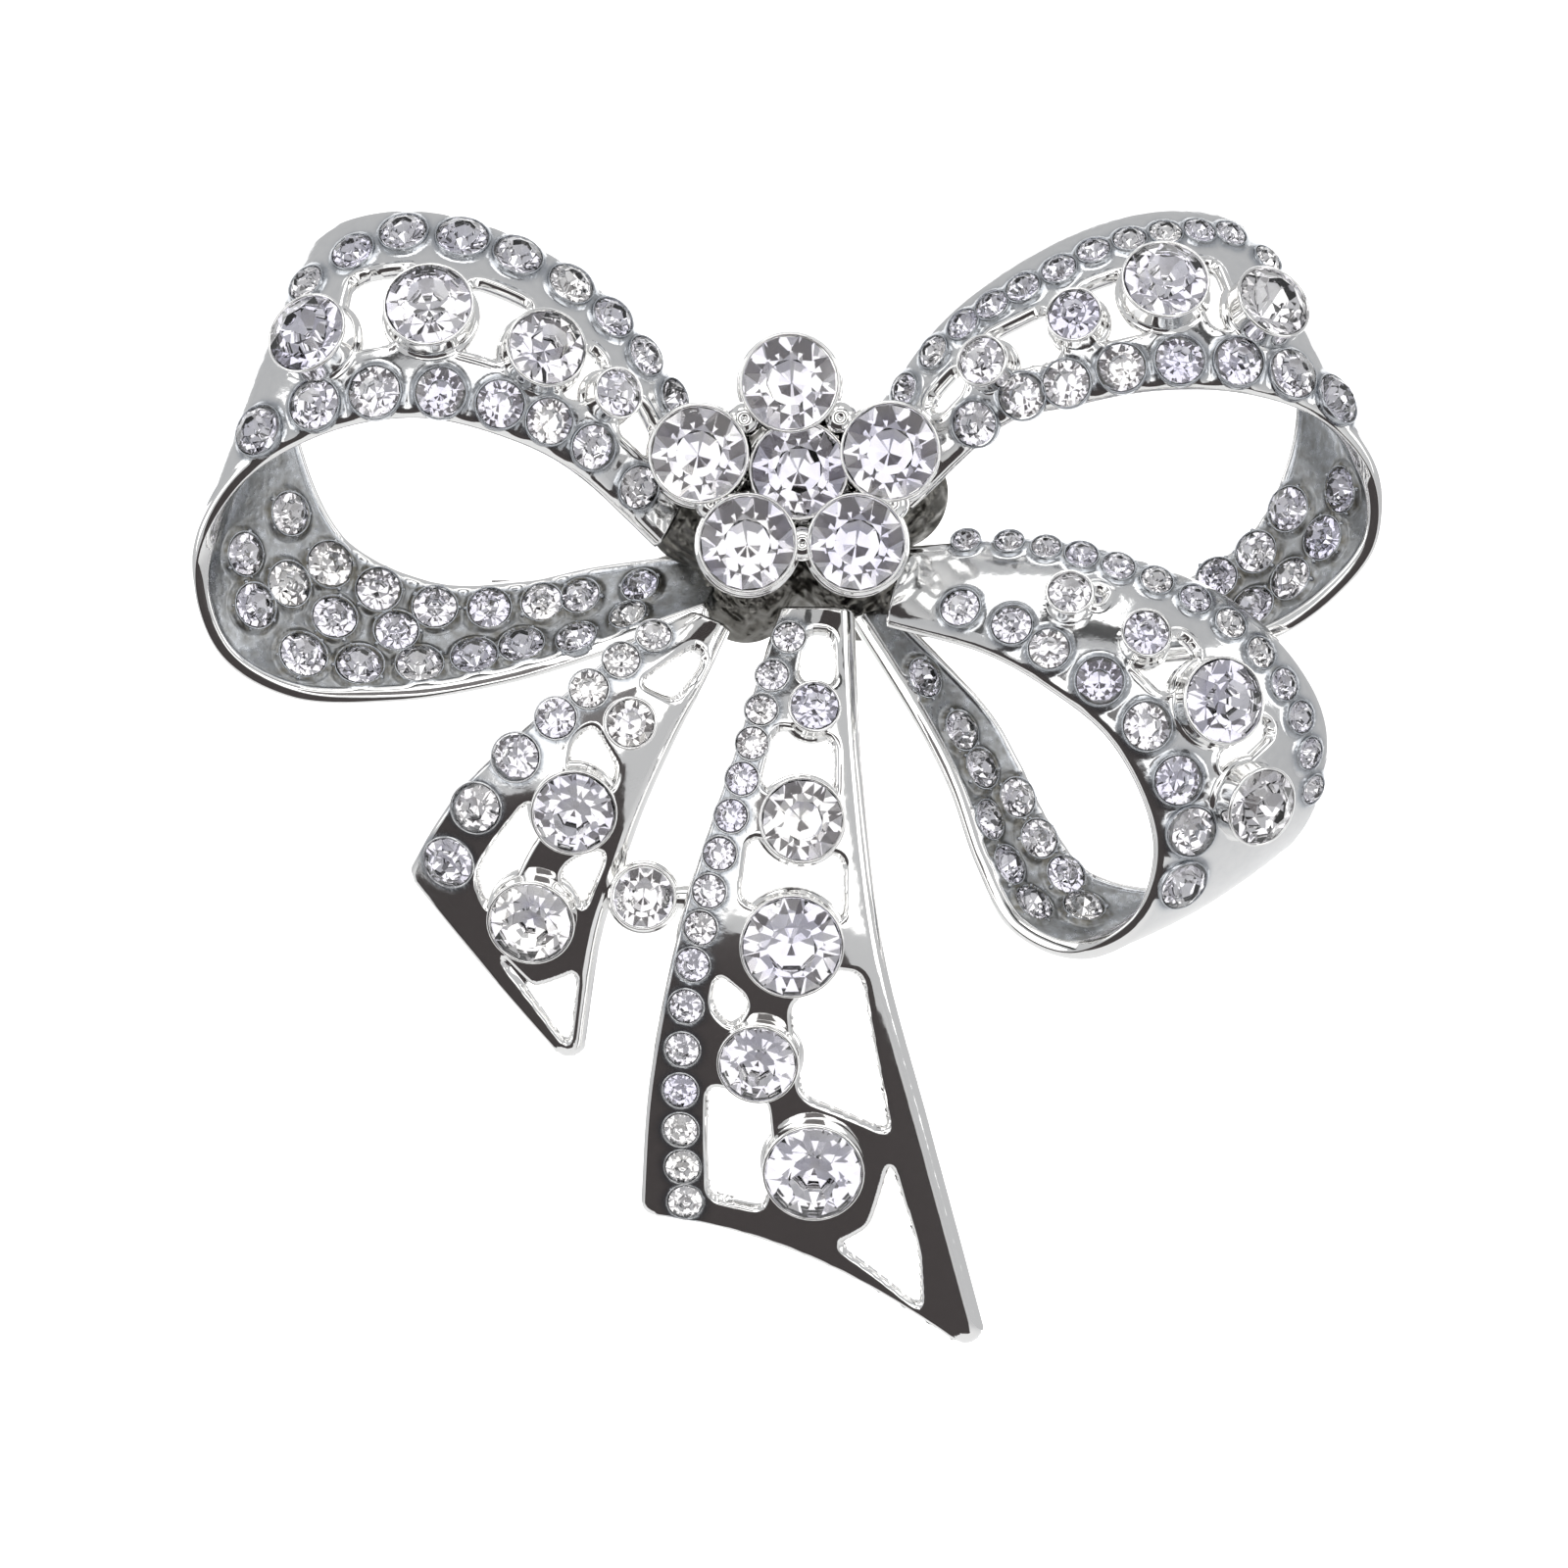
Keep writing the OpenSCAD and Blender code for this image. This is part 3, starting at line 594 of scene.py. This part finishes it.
def solid_piece(name, parts, material, replaced=(), smooth_faces=True):
    """One object from several closed shapes."""
    points, faces, base = [], [], 0
    for p, f in parts:
        points.append(p)
        faces += [[n + base for n in q] for q in (f.tolist() if hasattr(f, "tolist") else f)]
        base += len(p)
    piece = new_piece(name, np.concatenate(points), faces, material, smooth_faces)
    turn_outward(piece)
    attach(piece, "brooch")
    if replaced:
        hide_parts(*replaced)
    return piece


def even_soil_and_shade(piece, amount):
    """The same dirt and painted shade over a whole piece."""
    tone = piece.data.attributes.new("soil_and_shade", "FLOAT", "POINT")
    tone.data.foreach_set("value", np.full(len(piece.data.vertices), amount, np.float32))


def cup_profile(depth):
    """Cup wall in (past the stone's radius, height over its girdle): a stepped foot, a waist, a
    rolled lip just under the girdle, and a narrower bore below the seat."""
    return [(0.32, -depth), (0.31, 0.16 - 0.75 * depth), (0.26, 0.2 - 0.75 * depth),
            (0.12, 0.24 - 0.75 * depth), (0.1, -0.5 * depth), (0.12, -0.3), (0.16, -0.1),
            (0.17, -0.02), (0.15, 0.05), (0.1, 0.08), (0.04, 0.06), (0.02, 0.0), (0.0, -0.1),
            (-0.1, -0.3), (-0.3, -0.5), (-0.3, -depth)]


BEZEL = [(0.02, -0.35), (0.03, -0.04), (0.045, 0.03), (0.08, 0.05), (0.11, 0.02), (0.13, -0.1),
         (0.15, -0.35)]
CUP_DEPTH = 1.9


def settings(prefix, pave=True):
    """The cups of a ribbon, and the bezels and grains round its small stones."""
    solid_piece(prefix + "_cup_set",
                [turned(cup_profile(CUP_DEPTH), stone_seats(prefix + "_large_stones"))],
                rhodium, [prefix + "_cups"])
    rails = stone_seats(prefix + "_stones")
    parts = [turned(BEZEL, rails)]
    if pave:
        seats = stone_seats(prefix + "_pave_stones")
        parts += [turned(BEZEL, seats), grains(seats, 5, 0.14, 0.14, -0.08)]
    # The bezels and grains are darkened evenly: painted shade, the dark outline round each small stone.
    even_soil_and_shade(solid_piece(prefix + "_bezels", parts, rhodium), 0.5 if pave else 0.25)


settings("left_loop")

# ---------------------------------------------------------------------------
# Left loop stones
# Machine-cut glass chatons: an eight-sided table, a crown of kites and triangles, and a
# pointed back with a mirror foil that throws the light out again. They are glued in.
# ---------------------------------------------------------------------------
def chaton_shape():
    """Points and faces of a stone of radius 1 with its girdle at height 0. Eight broad facets
    run from the table's sides to the girdle, with a narrow triangle at each of its corners."""
    eighth = np.arange(8) * np.pi / 4
    half = np.pi / 8
    sixteenth = np.repeat(eighth, 2) + np.tile([-0.17, 0.17], 8)

    def ring(angles, r, h):
        return np.stack([r * np.cos(angles), r * np.sin(angles), np.full(len(angles), h)], -1)

    points = np.concatenate([
        ring(eighth, 0.52, 0.4), ring(sixteenth, 1.0, 0.03), ring(sixteenth, 1.0, -0.05),
        ring(eighth + half, 0.5, -0.46), [[0, 0, -0.84]]])
    table, top, low, deep, tip = 0, 8, 24, 40, 48
    crown = [list(range(8))]
    back = []
    for k in range(8):
        n = (k + 1) % 8
        p = (k - 1) % 8
        crown.append([table + k, top + 2 * k, top + 2 * k + 1])
        crown.append([table + k, top + 2 * k + 1, top + 2 * n, table + n])
        back.append([deep + k, low + 2 * n, low + 2 * k + 1])
        back.append([deep + k, low + 2 * k + 1, low + 2 * k, deep + p])
        back.append([tip, deep + k, deep + p])
    for k in range(16):
        n = (k + 1) % 16
        crown.append([top + k, low + k, low + n, top + n])
    return points, crown, back


def glass_material():
    """Clear lead glass with a faint cool tint."""
    material, tree, add = node_maker("crystal glass")
    place = add("ShaderNodeTexCoord").outputs["Object"]
    haze = add("ShaderNodeTexNoise", Vector=place, Scale=900.0, Detail=2.0)
    rough = add("ShaderNodeMapRange", Value=haze.outputs["Fac"])
    rough.inputs["To Min"].default_value = 0.0
    rough.inputs["To Max"].default_value = 0.02
    tint = add("ShaderNodeMix")
    tint.data_type = "RGBA"
    tint.inputs[6].default_value = (0.96, 0.97, 1.0, 1)
    tint.inputs[7].default_value = (1.0, 0.99, 0.985, 1)
    tree.links.new(haze.outputs["Fac"], tint.inputs[0])
    shader = add("ShaderNodeBsdfPrincipled", Roughness=rough.outputs["Result"], IOR=1.62)
    shader.inputs["Transmission Weight"].default_value = 1.0
    tree.links.new(tint.outputs[2], shader.inputs["Base Color"])
    end = add("ShaderNodeOutputMaterial")
    tree.links.new(shader.outputs[0], end.inputs["Surface"])
    return material


def foil_material():
    """Silvered back of a stone: bright mirror with faint lilac and straw patches."""
    material, tree, add = node_maker("mirror foil")
    place = add("ShaderNodeTexCoord").outputs["Object"]
    patch = add("ShaderNodeTexNoise", Vector=place, Scale=420.0, Detail=1.0)
    ramp = add("ShaderNodeValToRGB", Fac=patch.outputs["Fac"])
    ramp.color_ramp.elements[0].position = 0.3
    ramp.color_ramp.elements[0].color = (0.74, 0.73, 0.8, 1)
    ramp.color_ramp.elements[1].position = 0.7
    ramp.color_ramp.elements[1].color = (0.86, 0.85, 0.83, 1)
    rough = add("ShaderNodeMapRange", Value=patch.outputs["Fac"])
    rough.inputs["To Min"].default_value = 0.02
    rough.inputs["To Max"].default_value = 0.07
    shader = add("ShaderNodeBsdfPrincipled", Metallic=1.0, Roughness=rough.outputs["Result"])
    tree.links.new(ramp.outputs["Color"], shader.inputs["Base Color"])
    end = add("ShaderNodeOutputMaterial")
    tree.links.new(shader.outputs[0], end.inputs["Surface"])
    return material


crystal = glass_material()
foil = foil_material()
CHATON = chaton_shape()


def stone_set(node, seed):
    """A chaton in each seat of a CAD node, as one mesh. Each is turned about its axis, and leans
    a little, by its own amount."""
    shape, crown, back = CHATON
    random = np.random.default_rng(seed)
    points, faces, slots, base = [], [], [], 0
    for centre, x, y, z, radius in zip(*stone_seats(node)):
        a = random.uniform(0, np.pi / 4)
        lean = random.normal(0, 0.035, 2)
        z = unit(z + lean[0] * x + lean[1] * y)
        x = unit(x - (x @ z) * z)
        y = np.cross(z, x)
        x, y = math.cos(a) * x + math.sin(a) * y, math.cos(a) * y - math.sin(a) * x
        points.append(radius * (shape @ np.stack([x, y, z])) + centre)
        faces += [[n + base for n in f] for f in crown + back]
        slots += [0] * len(crown) + [1] * len(back)
        base += len(shape)
    piece = new_piece(node + "_cut", np.concatenate(points), faces, crystal, False)
    piece.data.materials.append(foil)
    piece.data.polygons.foreach_set("material_index", slots)
    turn_outward(piece)
    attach(piece, "brooch")
    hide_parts(node)


stone_set("left_loop_stones", 11)
stone_set("left_loop_large_stones", 12)
stone_set("left_loop_pave_stones", 13)

# ---------------------------------------------------------------------------
# Right loop
# The same construction, nearly a mirror image, but set with smaller stones on its upper
# rail and narrower where it comes back behind the lower loop.
# ---------------------------------------------------------------------------
RIGHT = [
    (5.1, 4.4, 5.5, 2.9, 8, 3.5, 0.3), (9.1, 8, 7.8, 6, 12.4, 4.6, 0.8),
    (12.2, 8.9, 8.6, 9.1, 15, 4.8, 1), (16, 9.6, 9, 13.1, 17.1, 4.6, 1.2),
    (20, 9.5, 8.6, 17.1, 17.9, 4, 1), (23.6, 8.3, 7.4, 20.4, 17.1, 3, 0.5),
    (25.9, 5.8, 6, 22.4, 13.3, 1.8, 0.1), (26, 2.7, 5, 22.7, 8.4, 0.8, 0.1),
    (23.8, 0.1, 4.2, 21.1, 4.2, 0.5, 0.3), (20.9, -1.6, 3.4, 18.7, 2, 0.3, 0.4),
    (17.1, -2.4, 2.6, 15.8, 0.9, 0.3, 0.3), (12.7, -2.2, 2.2, 12.2, 0.9, 0.3, 0.2),
    (5.1, 0.4, 3.4, 5.1, 2.7, 2, 0.2),
]
RIGHT_WINDOWS = [
    [(0.66, 0.36), (1, 0.35), (1.08, 0.5), (0.66, 0.5)],
    [(1.5, 0.3), (2.2, 0.26), (2.25, 0.56), (1.45, 0.56)],
    [(2.62, 0.27), (3.15, 0.27), (3.15, 0.6), (2.62, 0.58)],
    [(3.78, 0.28), (4.05, 0.28), (4.05, 0.62), (3.78, 0.62)],
]
casting("right_loop", (RIGHT, 1, 0), RIGHT_WINDOWS)
settings("right_loop")
stone_set("right_loop_stones", 21)
stone_set("right_loop_large_stones", 22)
stone_set("right_loop_pave_stones", 23)

# ---------------------------------------------------------------------------
# Lower loop
# A third loop soldered under the knot, hanging to the right, with its eye turned down.
# ---------------------------------------------------------------------------
LOWER = [
    (4, -0.9, 6, 4.9, 2.7, 4.5, 0.2), (8.2, -2.1, 7.6, 11.1, 3, 5.2, 0.5),
    (11.1, -3.7, 8.2, 15.3, 2.1, 5.4, 0.8), (13.8, -5.9, 8.4, 19.3, 0.4, 5.2, 1),
    (15.5, -8.9, 8, 22.4, -2.4, 4.4, 1), (15.9, -11.6, 7.4, 23.9, -5.8, 3.4, 0.7),
    (14.9, -14.2, 6.2, 22.9, -9.8, 2, 0.4), (12.2, -15.6, 5.2, 18.4, -12.7, 1, 0.3),
    (9.6, -14.4, 4.6, 13.8, -12.2, 0.6, 0.5), (8.1, -11.6, 4.2, 11.6, -9.8, 0.6, 0.5),
    (6.9, -8.2, 4, 10.1, -6.9, 0.8, 0.4), (5.3, -5.1, 4, 8.4, -4.2, 1.2, 0.3),
    (2.4, -0.4, 4.6, 4.2, 0, 2.8, 0.2),
]
LOWER_WINDOWS = [
    [(1.82, 0.58), (1.96, 0.56), (1.96, 0.66), (1.82, 0.66)],
    [(2.62, 0.35), (3.15, 0.33), (3.15, 0.6), (2.85, 0.63)],
    [(4.12, 0.38), (4.38, 0.38), (4.38, 0.67), (4.12, 0.67)],
]
casting("lower_loop", (LOWER, 1, 0), LOWER_WINDOWS)
settings("lower_loop")
stone_set("lower_loop_stones", 31)
stone_set("lower_loop_large_stones", 32)
stone_set("lower_loop_pave_stones", 33)

# ---------------------------------------------------------------------------
# Tails
# Two openwork plates, cast flat and bent a little, with a row of small stones down the left
# rail, large stones in cups that hang between the rails, and a wide polished hem.
# ---------------------------------------------------------------------------
SHORT = [
    (-5.1, -0.5, 5, -3.1, -1.1, 5, 0.2), (-7.8, -1.8, 6, -4.1, -3.3, 5.8, 0.3),
    (-10.4, -3.8, 6.5, -5.5, -6, 6, 0.4), (-12.9, -5.9, 6.3, -6.9, -9.1, 5.8, 0.5),
    (-15, -7.8, 5.8, -8, -12.2, 5.2, 0.5), (-16.4, -9.6, 5, -8.9, -15.1, 4.2, 0.5),
    (-17.7, -11.8, 3.4, -9.9, -21.4, 2.2, 0.3),
]
SHORT_WINDOWS = [
    [(0.6, 0.62), (1.5, 0.42), (1.5, 0.8), (0.75, 0.84)],
    [(2.3, 0.36), (2.6, 0.33), (3.25, 0.5), (3.2, 0.72), (2.7, 0.7)],
    [(3.7, 0.34), (3.75, 0.48), (4.9, 0.48), (5.45, 0.42), (5.25, 0.3)],
    [(3.75, 0.86), (4.05, 0.72), (4.45, 0.68), (4.75, 0.86)],
    [(5.72, 0.52), (5.72, 0.7), (5.35, 0.9), (5.85, 0.92)],
]
LONG = [
    (-0.9, -0.2, 5, 2.5, -0.2, 5, 0.2), (-2.9, -6.4, 6.8, 2.9, -7.6, 6.6, 0.4),
    (-5.3, -13.8, 6.4, 3.9, -15.6, 6.2, 0.6), (-6.8, -21.1, 4.6, 6, -23.6, 4.2, 0.6),
    (-7.3, -27.5, 2.6, 9, -34.8, 1.4, 0.4),
]
LONG_END_BOW = 1.7
LONG_WINDOWS = [
    [(0.17, 0.42), (0.5, 0.4), (0.5, 0.76), (0.17, 0.72)],
    [(0.84, 0.28), (1.2, 0.26), (1.2, 0.76), (0.84, 0.76)],
    [(1.5, 0.26), (1.85, 0.28), (1.85, 0.8), (1.5, 0.82)],
    [(2.15, 0.74), (2.4, 0.54), (2.95, 0.55), (3.0, 0.7), (3.05, 0.84), (2.15, 0.86)],
    [(2.3, 0.22), (2.42, 0.36), (2.6, 0.3), (2.5, 0.21)],
    [(3.0, 0.22), (3.03, 0.42), (3.4, 0.42), (3.74, 0.36), (3.76, 0.21)],
    [(3.22, 0.82), (3.6, 0.7), (3.8, 0.58), (3.92, 0.8), (3.6, 0.84)],
]


def tail(node, stations, windows, bow, seed):
    """A tail's casting, cups, bezels and stones."""
    casting(node, (stations, 1, bow), windows, False, 0.13)
    settings(node, False)
    stone_set(node + "_stones", seed)
    stone_set(node + "_large_stones", seed + 1)


tail("short_tail", SHORT, SHORT_WINDOWS, 0, 41)
tail("long_tail", LONG, LONG_WINDOWS, LONG_END_BOW, 51)

# ---------------------------------------------------------------------------
# Link between the tails
# One cup soldered to the short tail, with a lug on its right that reaches the long one, so that
# the thin plates can't be bent apart.
# ---------------------------------------------------------------------------
LINK_CUP_DEPTH = 1.6
LUG_DROP = 0.75
LUG = [(-0.99, 0.6), (-0.5, 0.65), (-0.5, 1.3), (-0.42, 2.0), (-0.35, 2.5), (-0.99, 2.55)]
link_seat = stone_seats("tail_link_stone")
link_foot, link_side, link_rise, link_out, _ = (axis[0] for axis in link_seat)
link_foot = link_foot - LUG_DROP * link_out
lug_seat = ([link_foot], [link_rise], [link_out], [link_side], [1.0])
solid_piece("tail_link_cup", [turned(cup_profile(LINK_CUP_DEPTH), link_seat), turned(LUG, lug_seat)],
            rhodium, ["tail_link"])
stone_set("tail_link_stone", 61)

# ---------------------------------------------------------------------------
# Knot
# The ribbons run into a rough lump of casting metal and solder, darkened where polish and plating
# didn't reach, and darkened further with painted shade where it lies behind the flower and between the
# loops.
# ---------------------------------------------------------------------------
KNOT = [(0, 4.4, 4.4), (-4.4, 4.4, 2.6), (4.2, 5.2, 2.6), (-2.4, 0.7, 2.3), (2.8, 0.8, 2.3)]
KNOT_MIDDLE = (0.0, 3.6)
KNOT_FRONT = 5.6


def mound(lobes, middle, front):
    """A rough heap over several round lobes, on a polar grid. Its edge is the farthest crossing
    of each ray with a lobe's circle; its height falls as the fourth power towards the edge, and
    waves of three sizes make it lumpy."""
    angle = np.linspace(0, 2 * np.pi, 180, endpoint=False)
    ray = np.stack([np.cos(angle), np.sin(angle)], -1)
    edge = np.zeros(len(angle))
    for x, z, radius in lobes:
        off = np.array([x - middle[0], z - middle[1]])
        near = ray @ off
        root = radius**2 - off @ off + near**2
        edge = np.maximum(edge, np.where(root > 0, near + np.sqrt(np.maximum(root, 0)), 0))
    edge = sum(np.roll(edge, k) for k in range(-2, 3)) / 5
    share = np.sin(np.linspace(0.012, np.pi / 2, 60))[:, None]
    px = middle[0] + share * edge * ray[:, 0]
    pz = middle[1] + share * edge * ray[:, 1]
    waves = (np.sin(3.1 * px + 1) * np.cos(2.7 * pz) + 0.7 * np.sin(5.3 * px - 2 * pz)
             * np.cos(6.1 * pz + 1.4 * px) + 0.6 * np.sin(9.7 * px + 3 * pz) * np.cos(11 * pz))
    height = front - 0.75 - 2.4 * share**4 + 0.32 * waves * (1 - 0.5 * share**8)
    floor = np.full(px.shape, 1.2)
    faces = [np.stack([px, -STAND_OFF - h, pz], -1) for h in (height, floor)]
    count, turns = px.shape
    i, j = np.meshgrid(np.arange(count - 1), np.arange(turns), indexing="ij")
    j2 = (j + 1) % turns
    quads = np.stack([i * turns + j, i * turns + j2, (i + 1) * turns + j2, (i + 1) * turns + j],
                     -1).reshape(-1, 4)
    size = count * turns
    m = np.arange(turns)
    n = (m + 1) % turns
    last = size - turns
    walls = np.stack([last + m, last + n, last + n + size, last + m + size], -1)
    quads = np.concatenate([quads, quads[:, ::-1] + size, walls]).tolist()
    return np.concatenate([f.reshape(-1, 3) for f in faces]), quads + [m.tolist(),
                                                                      (m + size).tolist()]


# Dark colours and an even share of 0.6: dirty solder, and painted shade under the flower and between
# the loops.
solder = plating("knot metal", (0.42, 0.41, 0.38), (0.19, 0.185, 0.17), (0.08, 0.075, 0.06), 0.1,
                 1.0)
even_soil_and_shade(solid_piece("knot_lump", [mound(KNOT, KNOT_MIDDLE, KNOT_FRONT)], solder,
                  ["knot_base"]), 0.6)

# ---------------------------------------------------------------------------
# Flower
# Six cups cast as one cluster and soldered to the knot, the middle one a little lower. Webs of
# metal, posts with rounded tops, fill the notches between neighbouring cups.
# ---------------------------------------------------------------------------
FLOWER_CUP_DEPTH = 3.6
WEB = [(-0.99, -3), (-0.2, -3), (-0.2, -1.1), (-0.25, -0.8), (-0.37, -0.6), (-0.6, -0.46),
       (-0.99, -0.4)]
cups = stone_seats("flower_stones")
petals = cups[0][np.linalg.norm(cups[0] - cups[0].mean(0), axis=1) > 2]
petals = petals[np.argsort(np.arctan2(*(petals - cups[0].mean(0))[:, [0, 2]].T))]
beside = np.roll(petals, -1, 0)
between = (petals + beside) / 2
outward = unit((between - cups[0].mean(0)) * (1, 0, 1))
spare = (cups[4][0] + 0.25) ** 2 - (np.linalg.norm(petals - beside, axis=1) / 2) ** 2
between = between + np.sqrt(np.maximum(spare, 0))[:, None] * outward
five = np.ones((5, 1))
web_seats = (between, five * (1.0, 0, 0), five * (0, 0, 1.0), five * (0, -1.0, 0), np.ones(5))
solid_piece("flower_cup_cluster", [turned(cup_profile(FLOWER_CUP_DEPTH), cups), turned(WEB, web_seats)],
            rhodium, ["flower_cups"])
stone_set("flower_stones", 71)

# ---------------------------------------------------------------------------
# Pin back
# Stamped and turned findings: a bar plate, two hinge ears with a rivet, a pin of drawn wire,
# and a roll-over catch. They keep the shapes of the frame.
# ---------------------------------------------------------------------------
findings = plating("plated findings", (0.8, 0.795, 0.78), (0.5, 0.5, 0.5), (0.3, 0.28, 0.25), 0.12,
                   0.1)
wire = plating("polished pin wire", (0.78, 0.775, 0.77), (0.5, 0.5, 0.5), (0.3, 0.3, 0.3), 0.08,
               0.05)
for node_name in ("bar_plate", "hinge_bracket", "catch_housing", "catch_roller"):
    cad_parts[node_name].data.materials.clear()
    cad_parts[node_name].data.materials.append(findings)
for node_name in ("hinge_rivet", "pin_stem"):
    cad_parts[node_name].data.materials.clear()
    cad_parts[node_name].data.materials.append(wire)

# ---------------------------------------------------------------------------
# Floor, backdrop, light and camera
# A pale floor well below, a bright sheet behind, and soft boxes in front, above and at both
# sides. The metal and stones mirror a dark card low in front, one high, and a grey one behind
# the camera. The low card is hidden from light that passes through glass.
# ---------------------------------------------------------------------------
def stage_sheet(name, corners, colour, glow=0.0):
    """A flat sheet of paper between four corners, in metres. It glows if it is lit through."""
    material, tree, add = node_maker(name + " paper")
    place = add("ShaderNodeTexCoord").outputs["Object"]
    grain = add("ShaderNodeTexNoise", Vector=place, Scale=60.0)
    shade = add("ShaderNodeMix")
    shade.data_type = "RGBA"
    shade.inputs[6].default_value = (*colour, 1)
    shade.inputs[7].default_value = (*(0.97 * c for c in colour), 1)
    tree.links.new(grain.outputs["Fac"], shade.inputs[0])
    shader = add("ShaderNodeBsdfPrincipled", Roughness=0.7)
    tree.links.new(shade.outputs[2], shader.inputs["Base Color"])
    shader.inputs["Emission Color"].default_value = (1, 1, 1, 1)
    shader.inputs["Emission Strength"].default_value = glow
    end = add("ShaderNodeOutputMaterial")
    tree.links.new(shader.outputs[0], end.inputs["Surface"])
    sheet = new_piece(name, np.array(corners) / MM, [[0, 1, 2, 3]], material, False)
    return sheet


stage_sheet("floor", [(-0.9, -0.9, -0.4), (0.9, -0.9, -0.4), (0.9, 0.9, -0.4),
                      (-0.9, 0.9, -0.4)], (0.9, 0.9, 0.9))
backdrop = stage_sheet("backdrop", [(-1.2, 0.8, -1), (-1.2, 0.8, 1.2), (1.2, 0.8, 1.2),
                                    (1.2, 0.8, -1)], (0.9, 0.9, 0.9), 1.0)
backdrop.visible_shadow = False
low_card = stage_sheet("low_card", [(-0.5, -0.58, -0.185), (0.18, -0.58, -0.185),
                                    (0.18, -0.2, -0.39), (-0.5, -0.2, -0.39)],
                       (0.035, 0.028, 0.028))
high_card = stage_sheet("high_card", [(-0.3, -0.42, 0.28), (0.3, -0.42, 0.28),
                                      (0.3, -0.36, 0.34), (-0.3, -0.36, 0.34)],
                        (0.05, 0.05, 0.05))
camera_card = stage_sheet("camera_card", [(-0.1, -0.56, -0.06), (0.1, -0.56, -0.06),
                                          (0.1, -0.56, 0.13), (-0.1, -0.56, 0.13)],
                          (0.16, 0.15, 0.15))
for card in (low_card, high_card, camera_card):
    card.visible_camera = False
    card.visible_shadow = False
low_card.visible_transmission = False

world = bpy.data.worlds.new("pale surroundings")
bpy.context.scene.world = world
world.use_nodes = True
world.node_tree.nodes["Background"].inputs["Color"].default_value = (0.97, 0.98, 1, 1)
world.node_tree.nodes["Background"].inputs["Strength"].default_value = 0.6


def soft_box(name, place, width, height, brightness):
    """An area lamp aimed at the middle of the object. Its power is that of a sheet of the given
    brightness: pi times brightness times area."""
    lamp = bpy.data.lights.new(name, "AREA")
    lamp.shape = "RECTANGLE"
    lamp.size = width
    lamp.size_y = height
    lamp.energy = math.pi * brightness * width * height
    lamp.color = (1.0, 0.995, 0.985)
    holder = bpy.data.objects.new(name, lamp)
    holder.visible_camera = False
    bpy.context.collection.objects.link(holder)
    aim = np.array(MIDDLE) - np.array(place)
    yaw = math.atan2(-aim[0], aim[1])
    pitch = math.atan2(aim[2], math.hypot(aim[0], aim[1]))
    holder.location = place
    holder.rotation_euler = (math.pi / 2 + pitch, 0, yaw)


low_corner, high_corner = (np.array(corner) for corner in cad_box)
MIDDLE = tuple((low_corner + high_corner) / 2)
soft_box("front_box", (0, -0.62, 0.07), 0.6, 0.46, 1.3)
soft_box("top_box", (-0.05, -0.3, 0.42), 0.4, 0.2, 1.6)
soft_box("left_box", (-0.5, -0.2, 0.1), 0.2, 0.4, 1.5)
soft_box("right_box", (0.5, -0.25, 0.1), 0.2, 0.4, 1.5)

VIEW_WIDTH = 0.0711
VIEW_DISTANCE = 0.5
SENSOR = 36.0
camera_data = bpy.data.cameras.new("camera")
camera_data.sensor_width = SENSOR
camera_data.lens = SENSOR * VIEW_DISTANCE / VIEW_WIDTH
camera_data.clip_start = 0.01
camera = bpy.data.objects.new("camera", camera_data)
bpy.context.collection.objects.link(camera)
camera.location = (MIDDLE[0] - 0.00015, MIDDLE[1] - VIEW_DISTANCE, MIDDLE[2] - 0.00024)
camera.rotation_euler = (math.pi / 2, 0, 0)
bpy.context.scene.camera = camera
bpy.context.scene.view_settings.view_transform = "Standard"
